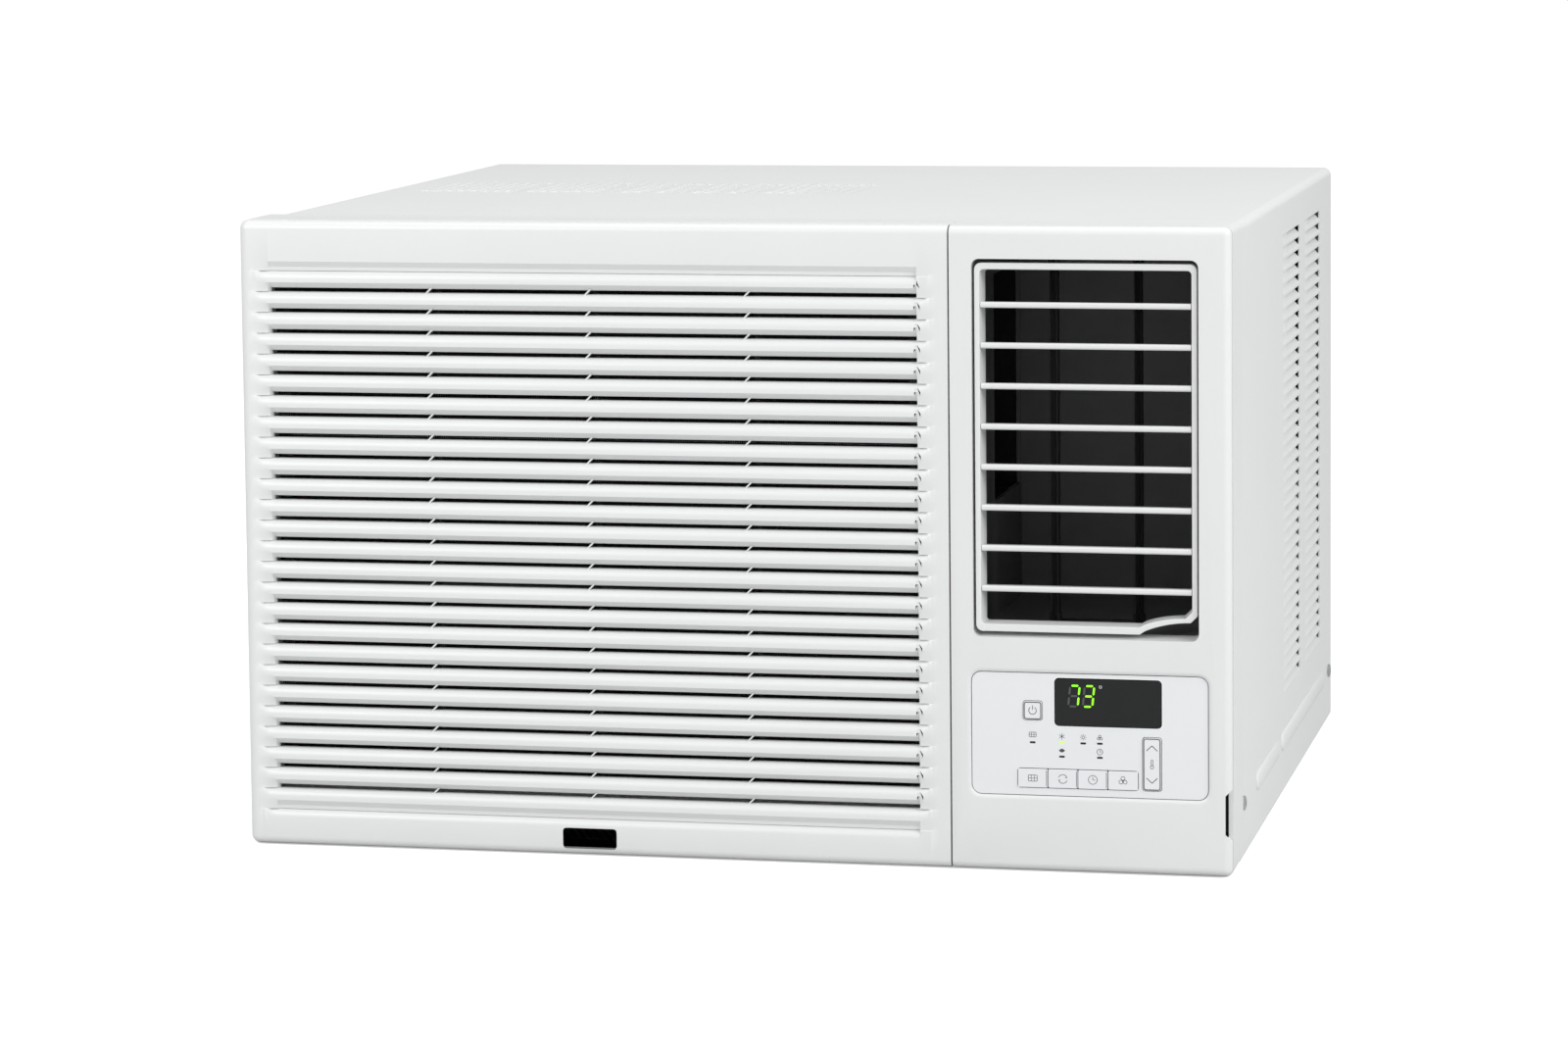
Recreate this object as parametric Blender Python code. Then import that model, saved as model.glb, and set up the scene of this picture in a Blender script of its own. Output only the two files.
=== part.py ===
"""Window air conditioner with a side-by-side front: intake grille left, outlet and controls right.

Metres, +Z up. The front faces -Y, the room-side floor plane is Z = 0, and the origin is the
centre of the whole unit's footprint. Left and right are as seen from the room.
"""
import math

import bmesh
import bpy
from mathutils import Matrix, Vector

# ---------------------------------------------------------------- driving dimensions
WIDTH = 0.600
HEIGHT = 0.380
DEPTH = 0.560
FRONT = -DEPTH / 2
REAR = DEPTH / 2
SIDE = WIDTH / 2

GAP = 0.0004                 # clearance between touching pieces
PAST = 0.002                 # how far a cutter runs past the face it cuts
SKIN = 0.003                 # moulded wall
BEZEL_BACK = FRONT + 0.050   # seam between the plastic front and the steel case
GRILLE_BACK = FRONT + 0.0245
BEZEL_STEP = FRONT + 0.026   # recessed face of the front behind the intake grille
SPLIT_X = 0.1335             # right edge of the intake grille
FRONT_ROUND = 0.005          # rounding of the front's outer edges
NOTCH_X = SIDE - 0.0045      # cord notch in the front's right edge
NOTCH_BACK = FRONT + 0.0056
NOTCH_Z = (0.0250, 0.0480)
NOTCH_FLARE = 0.0044

# intake grille
HINGE_Y = FRONT + 0.023
HINGE_Z = HEIGHT - 0.002
SLOT_PITCH = 0.0126
SLOT_TOP_Z = 0.3381
SLOT_COUNT = 25
SLOT_HEIGHT = 0.0042
SLOT_LEFT = -0.2805
SLOT_RIGHT = 0.1130
SLAT_DEPTH = 0.010
GRILLE_RIBS = (-0.182, -0.084, 0.0128)
RIB_WIDTH = 0.0022
BADGE_LOW = (-0.103, 0.004)
BADGE_HIGH = (-0.069, 0.017)

# filter that draws out through the left side of the front
FILTER_Y = FRONT + 0.0305
FILTER_THICK = 0.004
FILTER_RIGHT = 0.118
FILTER_BOTTOM = 0.029
FILTER_TOP = 0.353
FILTER_BARS_Z = (0.161, 0.248)
FILTER_BARS_X = (-0.185, -0.086, 0.013)
INLET_LOW = (-0.286, 0.034)
INLET_HIGH = (0.112, 0.350)
FILTER_LEFT = -SIDE + 0.0005
FILTER_EDGE = 0.008
FILTER_BAR_X = 0.003
FILTER_BAR_Z = 0.006

# discharge opening, louvre frame and vanes
MOUTH_LEFT = 0.1460
MOUTH_RIGHT = 0.2815
MOUTH_BOTTOM = 0.1360
MOUTH_TOP = 0.3615
LOUVRE_LEFT = 0.1490
LOUVRE_RIGHT = 0.2795
LOUVRE_BOTTOM = 0.1415
LOUVRE_TOP = 0.3580
LOUVRE_FRONT = FRONT + 0.002
LOUVRE_DEPTH = 0.012
LOUVRE_BAR = 0.0045
LOUVRE_VANE = 0.0032
LOUVRE_PITCH = 0.0238
LOUVRE_FIRST_Z = 0.3333
VANE_X = (0.189, 0.239)
VANE_Y = FRONT + 0.048
VANE_BOTTOM = 0.1415
VANE_TOP = 0.3580
VANE_CHORD = 0.034
LINK_BEHIND = 0.011
FINGER_RUN = 0.034            # finger notch in the louvre frame's foot
FINGER_RISE = 0.0075
STUB_RADIUS = 0.0022
DUCT_WALL = 0.0025
THROAT_Z = (0.203, 0.342)

# control panel
PANEL_LOW = (0.1464, 0.0454)
PANEL_HIGH = (0.2856, 0.1176)
PANEL_FACE = FRONT + 0.0012
PANEL_THICK = 0.0028
DISPLAY_LOW = (0.1957, 0.0870)
DISPLAY_HIGH = (0.2583, 0.1148)
POWER_LOW = (0.1770, 0.0900)
POWER_HIGH = (0.1880, 0.1010)
KEYS_Z = (0.0500, 0.0610)
KEYS_X = (0.1737, 0.1914, 0.2091, 0.2268, 0.2445)
ROCKER_LOW = (0.2474, 0.0500)
ROCKER_HIGH = (0.2582, 0.0812)
KEY_PROUD = 0.0006
KEY_DEEP = 0.0056

# steel case and base
CASE_SIDE = 0.2982
CASE_TOP = 0.3782
CASE_FRONT = BEZEL_BACK + 0.0005
SHEET = 0.0012
LOUVRE_ROWS = 37
VENT_PITCH = 0.00793
VENT_TOP_Z = 0.352
VENT_SLOT = 0.0030
SIDE_BANKS = ((FRONT + 0.273, FRONT + 0.368), (FRONT + 0.398, FRONT + 0.489))
TOP_BANK_Y = (FRONT + 0.281, FRONT + 0.362)
TOP_BANK_LEFT = -0.270
PAN_SIDE = 0.2960
PAN_WALL = 0.0016
PAN_LIP = 0.038
PAN_FRONT_LIP = 0.026
SCREW_Z = 0.0320
SCREW_YS = (FRONT + 0.065, REAR - 0.018)

# air system, all on one shaft
SHAFT_X = -0.085
SHAFT_Z = 0.195
SHAFT_RADIUS = 0.006
BLOWER_RADIUS = 0.100
BLOWER_SPAN = (FRONT + 0.122, FRONT + 0.196)
MOTOR_RADIUS = 0.062
MOTOR_SPAN = (FRONT + 0.250, FRONT + 0.335)
FAN_RADIUS = 0.147
FAN_SPAN = (FRONT + 0.372, FRONT + 0.392)
FAN_BLADES = 5
FAN_PITCH = 24
SCROLL_SPAN = (FRONT + 0.108, FRONT + 0.208)
SCROLL_EYE = 0.090
SHAFT_CLEARANCE = 0.020
BULKHEAD_Y = FRONT + 0.222
DUCT_BACK = FRONT + 0.210

# sealed circuit
EVAPORATOR_SPAN = (FRONT + 0.054, FRONT + 0.094)
CONDENSER_SPAN = (FRONT + 0.482, FRONT + 0.527)
COMPRESSOR_X = 0.205
COMPRESSOR_Y = FRONT + 0.355
COMPRESSOR_RADIUS = 0.060
FOOT_REACH = 0.069
PLATE_REACH = 0.078
TANK_X = 0.268
TANK_Y = COMPRESSOR_Y + 0.084
PIPE_RADIUS = 0.0045

# electrical box under the duct
BOX_LOW = (0.141, FRONT + 0.014, 0.030)
BOX_HIGH = (0.2858, FRONT + 0.160, 0.126)
BOX_WALL = 0.0015


# ---------------------------------------------------------------- scene and materials
def clear_scene():
    """Remove whatever the file opened with."""
    for item in list(bpy.data.objects):
        bpy.data.objects.remove(item, do_unlink=True)


MATERIALS = {
    "white_abs": ((0.86, 0.87, 0.87), 0.35, 0.0),
    "white_steel": ((0.84, 0.85, 0.85), 0.42, 0.0),
    "galvanised_steel": ((0.55, 0.57, 0.58), 0.45, 0.9),
    "black_plastic": ((0.03, 0.03, 0.032), 0.5, 0.0),
    "dark_duct": ((0.10, 0.10, 0.105), 0.7, 0.0),
    "filter_mesh": ((0.12, 0.13, 0.14), 0.9, 0.0),
    "fin_aluminium": ((0.62, 0.64, 0.66), 0.35, 0.95),
    "copper": ((0.72, 0.38, 0.22), 0.3, 1.0),
    "compressor_enamel": ((0.02, 0.02, 0.022), 0.35, 0.0),
    "rubber": ((0.03, 0.03, 0.03), 0.8, 0.0),
    "display_lens": ((0.02, 0.022, 0.024), 0.1, 0.0),
    "board_green": ((0.03, 0.20, 0.09), 0.5, 0.0),
    "badge_grey": ((0.18, 0.19, 0.20), 0.35, 0.2),
    "foam": ((0.75, 0.75, 0.73), 0.9, 0.0),
    "screw_steel": ((0.70, 0.71, 0.72), 0.3, 1.0),
    "mica": ((0.55, 0.48, 0.36), 0.7, 0.0),
}


def finish(slot):
    """The Principled material of one finish, made once."""
    known = bpy.data.materials.get(slot)
    if known:
        return known
    colour, roughness, metallic = MATERIALS[slot]
    made = bpy.data.materials.new(slot)
    made.use_nodes = True
    shader = made.node_tree.nodes["Principled BSDF"]
    shader.inputs["Base Color"].default_value = (*colour, 1.0)
    shader.inputs["Roughness"].default_value = roughness
    shader.inputs["Metallic"].default_value = metallic
    return made


# ---------------------------------------------------------------- mesh helpers
def add_box(bm, low, high):
    """Add a box between two corners and return its vertices."""
    low, high = Vector(low), Vector(high)
    made = bmesh.ops.create_cube(bm, size=1.0)["verts"]
    bmesh.ops.scale(bm, vec=high - low, verts=made)
    bmesh.ops.translate(bm, vec=(low + high) / 2, verts=made)
    return made


def add_rod(bm, start, end, radius, sides=24, end_radius=None):
    """Add a closed cylinder or cone between two points and return its vertices."""
    start, end = Vector(start), Vector(end)
    along = end - start
    turn = along.to_track_quat("Z", "Y").to_matrix().to_4x4()
    place = Matrix.Translation((start + end) / 2) @ turn
    tip = radius if end_radius is None else end_radius
    return bmesh.ops.create_cone(bm, cap_ends=True, segments=sides, radius1=radius,
                                 radius2=tip, depth=along.length, matrix=place)["verts"]


def rounded_outline(low, high, radii, steps=3):
    """Corner-rounded rectangle, from the low corner; radii for LL, LR, UR and UL."""
    centres = ((low[0], low[1], 1, 1, 180), (high[0], low[1], -1, 1, 270),
               (high[0], high[1], -1, -1, 0), (low[0], high[1], 1, -1, 90))
    points = []
    for (x, z, inward_x, inward_z, first), radius in zip(centres, radii):
        for step in range(steps + 1):
            angle = math.radians(first + 90 * step / steps)
            points.append((x + inward_x * radius + radius * math.cos(angle),
                           z + inward_z * radius + radius * math.sin(angle)))
    return points


def add_prism(bm, outline, start, end, axis="Y"):
    """Extrude an outline along Y (outline in X, Z) or along Z (outline in X, Y)."""
    if axis == "Y":
        ring = [bm.verts.new((x, start, z)) for x, z in outline]
        travel = (0, end - start, 0)
    else:
        ring = [bm.verts.new((x, y, start)) for x, y in outline]
        travel = (0, 0, end - start)
    face = bm.faces.new(ring)
    made = bmesh.ops.extrude_face_region(bm, geom=[face], use_keep_orig=True)["geom"]
    moved = [item for item in made if isinstance(item, bmesh.types.BMVert)]
    bmesh.ops.translate(bm, vec=travel, verts=moved)
    bmesh.ops.recalc_face_normals(bm, faces=bm.faces[:])
    return ring + moved


def add_turned(bm, profile, centre, axis, steps=32, closed=False):
    """Spin a profile of (radius, height) about an axis; a closed profile makes a ring."""
    along = Vector(axis).normalized()
    side = along.orthogonal().normalized()
    base = Vector(centre)
    ring = [bm.verts.new(base + side * radius + along * height) for radius, height in profile]
    edges = [bm.edges.new(pair) for pair in zip(ring, ring[1:])]
    if closed:
        edges.append(bm.edges.new((ring[-1], ring[0])))
    bmesh.ops.spin(bm, geom=ring + edges, cent=base, axis=along, angle=2 * math.pi,
                   steps=steps, use_merge=True)
    bmesh.ops.remove_doubles(bm, verts=bm.verts[:], dist=1e-6)
    bmesh.ops.recalc_face_normals(bm, faces=bm.faces[:])


def as_object(name, bm, slot, pivot=(0, 0, 0), smooth=False):
    """Turn a bmesh in world space into a named object whose origin is its pivot."""
    bmesh.ops.translate(bm, vec=-Vector(pivot), verts=bm.verts[:])
    bmesh.ops.recalc_face_normals(bm, faces=bm.faces[:])
    mesh = bpy.data.meshes.new(name)
    bm.to_mesh(mesh)
    bm.free()
    if smooth:
        mesh.shade_smooth()
        mesh.set_sharp_from_angle(angle=math.radians(35))
    made = bpy.data.objects.new(name, mesh)
    made.location = pivot
    mesh.materials.append(finish(slot))
    bpy.context.scene.collection.objects.link(made)
    return made


def as_tool(name, bm):
    """A hidden mesh that a Boolean reads."""
    made = as_object(name, bm, "rubber")
    made.hide_render = True
    made.display_type = "WIRE"
    return made


def boolean(target, tool, operation):
    """Cut a tool out of a target, or join it on."""
    modifier = target.modifiers.new(operation.title(), "BOOLEAN")
    modifier.operation = operation
    modifier.solver = "EXACT"
    modifier.object = tool
    return target


def cut(target, bm):
    """Cut the shape in a bmesh out of an object."""
    return boolean(target, as_tool(target.name + "_cutter", bm), "DIFFERENCE")


def join(target, bm, several=False):
    """Join the shape in a bmesh onto an object."""
    boolean(target, as_tool(target.name + "_addition", bm), "UNION")
    target.modifiers[-1].use_self = several
    return target


def plain_box(name, low, high, slot):
    """A node that is one box."""
    bm = bmesh.new()
    add_box(bm, low, high)
    return as_object(name, bm, slot)


def rounded_plate(name, low, high, span, radius, slot, pivot=(0, 0, 0)):
    """A plate in the X-Z plane with rounded corners; low and high are (x, z)."""
    bm = bmesh.new()
    add_prism(bm, rounded_outline(low, high, (radius,) * 4, 2), *span)
    return as_object(name, bm, slot, pivot)


def shrink(low, high, margin):
    """A smaller (or larger, for a negative margin) rectangle."""
    return ((low[0] + margin, low[1] + margin), (high[0] - margin, high[1] - margin))


def bent_route(points, radius, steps=3):
    """A polyline through the points with each inner corner turned on an arc."""
    points = [Vector(point) for point in points]
    route = [points[0]]
    for before, corner, after in zip(points, points[1:], points[2:]):
        arrive = (corner - before).normalized()
        leave = (after - corner).normalized()
        turn = arrive.angle(leave)
        reach = radius * math.tan(turn / 2)
        start = corner - arrive * reach
        inward = (leave - arrive).normalized()
        hub = corner + inward * (radius / math.cos(turn / 2))
        spoke = start - hub
        normal = arrive.cross(leave).normalized()
        for step in range(steps + 1):
            spin = Matrix.Rotation(turn * step / steps, 3, normal)
            route.append(hub + spin @ spoke)
    route.append(points[-1])
    return route


def pipe(name, points, radius, bend, slot="copper"):
    """A bent tube as a bevelled curve with filled ends."""
    route = bent_route(points, bend)
    curve = bpy.data.curves.new(name, "CURVE")
    curve.dimensions = "3D"
    curve.bevel_depth = radius
    curve.bevel_resolution = 1
    curve.use_fill_caps = True
    line = curve.splines.new("POLY")
    line.points.add(len(route) - 1)
    for point, place in zip(line.points, route):
        point.co = (*place, 1.0)
    made = bpy.data.objects.new(name, curve)
    curve.materials.append(finish(slot))
    bpy.context.scene.collection.objects.link(made)
    return made


# ---------------------------------------------------------------- front: bezel, grille, filter
def front_bezel():
    """Moulded front: full depth behind the outlet and controls, stepped back behind the grille."""
    bm = bmesh.new()
    step_x = SPLIT_X + 0.001
    outline = [(-SIDE, BEZEL_BACK), (-SIDE, BEZEL_STEP), (step_x, BEZEL_STEP), (step_x, FRONT),
               (SIDE, FRONT), (SIDE, BEZEL_BACK)]
    add_prism(bm, outline, 0, HEIGHT, axis="Z")
    rounded = [edge for edge in bm.edges
               if all(vert.co.y < FRONT + 1e-5 for vert in edge.verts)
               and any(vert.co.x > step_x + 1e-5 for vert in edge.verts)]
    bmesh.ops.bevel(bm, geom=rounded, offset=FRONT_ROUND, segments=3, profile=0.5,
                    affect="EDGES", material=-1)
    bezel = as_object("front_bezel", bm, "white_abs")

    hollow = bmesh.new()
    inner = [(-SIDE + SKIN, BEZEL_BACK + PAST), (-SIDE + SKIN, BEZEL_STEP + SKIN),
             (step_x + SKIN, BEZEL_STEP + SKIN), (step_x + SKIN, FRONT + SKIN),
             (SIDE - SKIN, FRONT + SKIN), (SIDE - SKIN, BEZEL_BACK + PAST)]
    add_prism(hollow, inner, SKIN, HEIGHT - SKIN, axis="Z")
    cut(bezel, hollow)

    windows = bmesh.new()
    add_box(windows, (INLET_LOW[0], BEZEL_STEP - PAST, INLET_LOW[1]),
            (INLET_HIGH[0], BEZEL_STEP + SKIN + PAST, INLET_HIGH[1]))
    mouth = rounded_outline((MOUTH_LEFT, MOUTH_BOTTOM), (MOUTH_RIGHT, MOUTH_TOP),
                            (0.006, 0.008, 0.008, 0.005))
    add_prism(windows, mouth, FRONT - PAST, FRONT + SKIN + PAST)
    low, high = shrink(PANEL_LOW, PANEL_HIGH, -GAP)
    add_prism(windows, rounded_outline(low, high, (0.006,) * 4, 2), FRONT - PAST, FRONT + SKIN + PAST)
    notch = [(NOTCH_X, NOTCH_Z[0]), (SIDE + GAP, NOTCH_Z[0] - NOTCH_FLARE),
             (SIDE + GAP, NOTCH_Z[1] + NOTCH_FLARE), (NOTCH_X, NOTCH_Z[1])]
    add_prism(windows, notch, FRONT - PAST, NOTCH_BACK)
    add_box(windows, (-SIDE - PAST, FILTER_Y - 0.001, FILTER_BOTTOM - 0.001),
            (-SIDE + 0.005, FILTER_Y + 0.0082, FILTER_TOP + 0.001))
    return cut(bezel, windows)


def inlet_grille():
    """Hinged intake panel: a shallow tray with a deep slatted field, ribs and a badge pocket."""
    pivot = (0, HINGE_Y, HINGE_Z)
    bm = bmesh.new()
    add_box(bm, (-SIDE, FRONT, 0), (SPLIT_X, GRILLE_BACK, HEIGHT))
    rounded = [edge for edge in bm.edges
               if all(vert.co.y < FRONT + 1e-5 for vert in edge.verts)
               and any(vert.co.x < SPLIT_X - 1e-5 for vert in edge.verts)]
    bmesh.ops.bevel(bm, geom=rounded, offset=FRONT_ROUND, segments=3, profile=0.5,
                    affect="EDGES", material=-1)
    grille = as_object("inlet_grille", bm, "white_abs", pivot)

    hollow = bmesh.new()
    deep = FRONT + SLAT_DEPTH
    low_z = SLOT_TOP_Z - SLOT_PITCH * (SLOT_COUNT - 0.4)
    high_z = SLOT_TOP_Z + SLOT_PITCH * 0.6
    add_box(hollow, (-SIDE + SKIN, deep, SKIN), (SPLIT_X - SKIN, GRILLE_BACK + 0.002, HEIGHT - SKIN))
    field_left = SLOT_LEFT - 0.006
    field_right = SLOT_RIGHT + 0.006
    margins = (((-SIDE + SKIN, SKIN), (SPLIT_X - SKIN, low_z)),
               ((-SIDE + SKIN, high_z), (SPLIT_X - SKIN, HEIGHT - SKIN)),
               ((-SIDE + SKIN, SKIN), (field_left, HEIGHT - SKIN)),
               ((field_right, SKIN), (SPLIT_X - SKIN, HEIGHT - SKIN)))
    cut(grille, hollow)
    for low, high in margins:
        around = bmesh.new()
        add_box(around, (low[0], FRONT + SKIN, low[1]), (high[0], deep + 0.001, high[1]))
        cut(grille, around)

    slots = bmesh.new()
    for row in range(SLOT_COUNT):
        z = SLOT_TOP_Z - SLOT_PITCH * row
        add_box(slots, (SLOT_LEFT, FRONT - 0.001, z - SLOT_HEIGHT / 2),
                (SLOT_RIGHT, deep + 0.001, z + SLOT_HEIGHT / 2))
    add_box(slots, (BADGE_LOW[0] - GAP, FRONT - 0.001, BADGE_LOW[1] - GAP),
            (BADGE_HIGH[0] + GAP, FRONT + 0.0018, BADGE_HIGH[1] + GAP))
    cut(grille, slots)

    ribs = bmesh.new()
    for x in GRILLE_RIBS:
        add_box(ribs, (x - RIB_WIDTH / 2, deep - 0.002, low_z + 0.003),
                (x + RIB_WIDTH / 2, deep + 0.006, high_z - 0.003))
    return join(grille, ribs)


def badge():
    """Small plain plate set into the foot of the grille."""
    bm = bmesh.new()
    add_box(bm, (BADGE_LOW[0], FRONT, BADGE_LOW[1]), (BADGE_HIGH[0], FRONT + 0.0014, BADGE_HIGH[1]))
    return as_object("badge", bm, "badge_grey", (0, HINGE_Y, HINGE_Z))


def filter_frame():
    """Lattice that stretches the filter net, with a pull bar at its left end."""
    back = FILTER_Y + FILTER_THICK
    bm = bmesh.new()
    add_box(bm, (FILTER_LEFT, FILTER_Y, FILTER_BOTTOM), (FILTER_RIGHT, back, FILTER_TOP))
    frame = as_object("filter_frame", bm, "white_abs")
    bar = bmesh.new()
    add_box(bar, (FILTER_LEFT, back - 0.001, FILTER_BOTTOM), (FILTER_LEFT + 0.0035, back + 0.003, FILTER_TOP))
    join(frame, bar)
    cells = bmesh.new()
    xs = (-0.278, *FILTER_BARS_X, FILTER_RIGHT - FILTER_EDGE)
    zs = (FILTER_BOTTOM + FILTER_EDGE, *FILTER_BARS_Z, FILTER_TOP - FILTER_EDGE)
    half_x = FILTER_BAR_X / 2
    half_z = FILTER_BAR_Z / 2
    for left, right in zip(xs, xs[1:]):
        for bottom, top in zip(zs, zs[1:]):
            low_x = left if left == xs[0] else left + half_x
            high_x = right if right == xs[-1] else right - half_x
            low_z = bottom if bottom == zs[0] else bottom + half_z
            high_z = top if top == zs[-1] else top - half_z
            add_box(cells, (low_x, FILTER_Y - 0.001, low_z), (high_x, back + 0.001, high_z))
    return cut(frame, cells)


def filter_net():
    """Woven net bonded to the back of its frame."""
    front = FILTER_Y + FILTER_THICK + GAP
    return plain_box("filter_net", (-0.288, front, FILTER_BOTTOM + 0.002),
                     (FILTER_RIGHT - 0.002, front + 0.0012, FILTER_TOP - 0.002), "filter_mesh")


# ---------------------------------------------------------------- outlet louvres and vanes
def outlet_louvre_frame():
    """Tilting frame with eight slats; its foot rises at the right for a fingertip."""
    middle = (LOUVRE_BOTTOM + LOUVRE_TOP) / 2
    pivot = ((LOUVRE_LEFT + LOUVRE_RIGHT) / 2, LOUVRE_FRONT + LOUVRE_DEPTH / 2, middle)
    back = LOUVRE_FRONT + LOUVRE_DEPTH
    notch_start = LOUVRE_RIGHT - FINGER_RUN
    foot = [(LOUVRE_LEFT + 0.004, LOUVRE_BOTTOM), (notch_start, LOUVRE_BOTTOM)]
    for step in range(7):
        part = step / 6
        foot.append((notch_start + (FINGER_RUN - 0.004) * part,
                     LOUVRE_BOTTOM + FINGER_RISE * math.sin(part * math.pi / 2)))
    crown = rounded_outline((LOUVRE_LEFT, LOUVRE_BOTTOM), (LOUVRE_RIGHT, LOUVRE_TOP),
                            (0.004, 0.004, 0.007, 0.004))[8:]
    left_foot = [(LOUVRE_LEFT, LOUVRE_BOTTOM + 0.004)]
    right_foot = [(LOUVRE_RIGHT, LOUVRE_BOTTOM + FINGER_RISE + 0.004)]
    bm = bmesh.new()
    add_prism(bm, foot + right_foot + crown + left_foot, LOUVRE_FRONT, back)
    frame = as_object("outlet_louvre_frame", bm, "white_abs", pivot)

    gaps = bmesh.new()
    left = LOUVRE_LEFT + LOUVRE_BAR
    right = LOUVRE_RIGHT - LOUVRE_BAR
    edges = [LOUVRE_TOP - LOUVRE_BAR]
    for row in range(8):
        z = LOUVRE_FIRST_Z - LOUVRE_PITCH * row
        edges += [z + LOUVRE_VANE / 2, z - LOUVRE_VANE / 2]
    for top, bottom in zip(edges[0::2], edges[1::2]):
        add_box(gaps, (left, LOUVRE_FRONT - 0.001, bottom), (right, back + 0.001, top))
    sill = LOUVRE_BOTTOM + LOUVRE_BAR
    last = [(left, sill), (notch_start - 0.001, sill)]
    for step in range(7):
        part = step / 6
        last.append((notch_start - 0.001 + (right - notch_start + 0.001) * part,
                     sill + FINGER_RISE * math.sin(part * math.pi / 2)))
    last += [(right, edges[-1]), (left, edges[-1])]
    add_prism(gaps, last, LOUVRE_FRONT - 0.001, back + 0.001)
    return cut(frame, gaps)


def vertical_vane(name, x):
    """One tall vane with a stub pivot at each end."""
    bm = bmesh.new()
    outline = [(x - 0.0006, VANE_Y - VANE_CHORD / 2), (x + 0.0006, VANE_Y - VANE_CHORD / 2),
               (x + 0.0013, VANE_Y), (x + 0.0006, VANE_Y + VANE_CHORD / 2),
               (x - 0.0006, VANE_Y + VANE_CHORD / 2), (x - 0.0013, VANE_Y)]
    add_prism(bm, outline, VANE_BOTTOM, VANE_TOP, axis="Z")
    vane = as_object(name, bm, "black_plastic", (x, VANE_Y, (VANE_BOTTOM + VANE_TOP) / 2))
    stub = bmesh.new()
    add_rod(stub, (x, VANE_Y, MOUTH_BOTTOM - STUB_RADIUS), (x, VANE_Y, MOUTH_TOP + STUB_RADIUS),
            STUB_RADIUS, 12)
    return join(vane, stub)


def vane_link_bar():
    """Rod under the vanes that keeps them parallel."""
    y = VANE_Y + LINK_BEHIND
    bm = bmesh.new()
    add_box(bm, (VANE_X[0] - 0.004, y - 0.003, VANE_BOTTOM - 0.0034),
            (VANE_X[1] + 0.004, y + 0.003, VANE_BOTTOM - 0.0006))
    return as_object("vane_link_bar", bm, "black_plastic", (VANE_X[0], y, VANE_BOTTOM - 0.002))


def discharge_duct():
    """Box duct from the scroll to the outlet, open at the front and to the scroll at its left."""
    low = (MOUTH_LEFT - 0.007, FRONT + SKIN + GAP, MOUTH_BOTTOM - 0.006)
    high = (MOUTH_RIGHT + 0.006, DUCT_BACK, MOUTH_TOP + 0.006)
    bm = bmesh.new()
    add_box(bm, low, high)
    duct = as_object("discharge_duct", bm, "dark_duct")
    hollow = bmesh.new()
    add_box(hollow, (low[0] + DUCT_WALL, low[1] - PAST, low[2] + DUCT_WALL),
            (high[0] - DUCT_WALL, high[1] - DUCT_WALL, high[2] - DUCT_WALL))
    cut(duct, hollow)
    throat = bmesh.new()
    add_box(throat, (low[0] - PAST, SCROLL_SPAN[0] + 0.003, THROAT_Z[0]),
            (low[0] + DUCT_WALL + PAST, SCROLL_SPAN[1] - 0.003, THROAT_Z[1]))
    return cut(duct, throat)


# ---------------------------------------------------------------- controls
def control_panel():
    """Overlay plate in the recess, pierced for the display, keys and rocker."""
    back = PANEL_FACE + PANEL_THICK
    panel = rounded_plate("control_panel", PANEL_LOW, PANEL_HIGH, (PANEL_FACE, back), 0.0055, "white_abs")
    holes = bmesh.new()
    pieces = [(DISPLAY_LOW, DISPLAY_HIGH, 0.0025), (POWER_LOW, POWER_HIGH, 0.0015),
              (ROCKER_LOW, ROCKER_HIGH, 0.0015)]
    for low, high, radius in pieces:
        low, high = shrink(low, high, -GAP)
        add_prism(holes, rounded_outline(low, high, (radius + GAP,) * 4, 2),
                  PANEL_FACE - 0.001, back + 0.001)
    low, high = shrink((KEYS_X[0], KEYS_Z[0]), (KEYS_X[-1], KEYS_Z[1]), -GAP)
    add_box(holes, (low[0], PANEL_FACE - 0.001, low[1]), (high[0], back + 0.001, high[1]))
    return cut(panel, holes)


def display_window():
    """Smoked lens of the two-digit display."""
    span = (PANEL_FACE - 0.0004, PANEL_FACE + 0.0030)
    return rounded_plate("display_window", DISPLAY_LOW, DISPLAY_HIGH, span, 0.0025, "display_lens")


def push_key(name, low, high, radius):
    """A key cap with its plunger; the origin is the middle of its face."""
    face = PANEL_FACE - KEY_PROUD
    pivot = ((low[0] + high[0]) / 2, face, (low[1] + high[1]) / 2)
    return rounded_plate(name, low, high, (face, face + KEY_DEEP), radius, "white_abs", pivot)


def control_keys():
    """Power key, four function keys in a row and the temperature rocker."""
    push_key("power_button", POWER_LOW, POWER_HIGH, 0.0015)
    names = ("filter_reset_key", "mode_key", "timer_key", "fan_speed_key")
    for name, left, right in zip(names, KEYS_X, KEYS_X[1:]):
        low_x = left if left == KEYS_X[0] else left + GAP / 2
        high_x = right if right == KEYS_X[-1] else right - GAP / 2
        push_key(name, (low_x, KEYS_Z[0]), (high_x, KEYS_Z[1]), 0.0008)
    push_key("temperature_rocker", ROCKER_LOW, ROCKER_HIGH, 0.0015)


def control_board():
    """Circuit board behind the keys."""
    y = PANEL_FACE + 0.0085
    return plain_box("control_board", (0.152, y, 0.047), (0.282, y + 0.0016, 0.117), "board_green")


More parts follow.
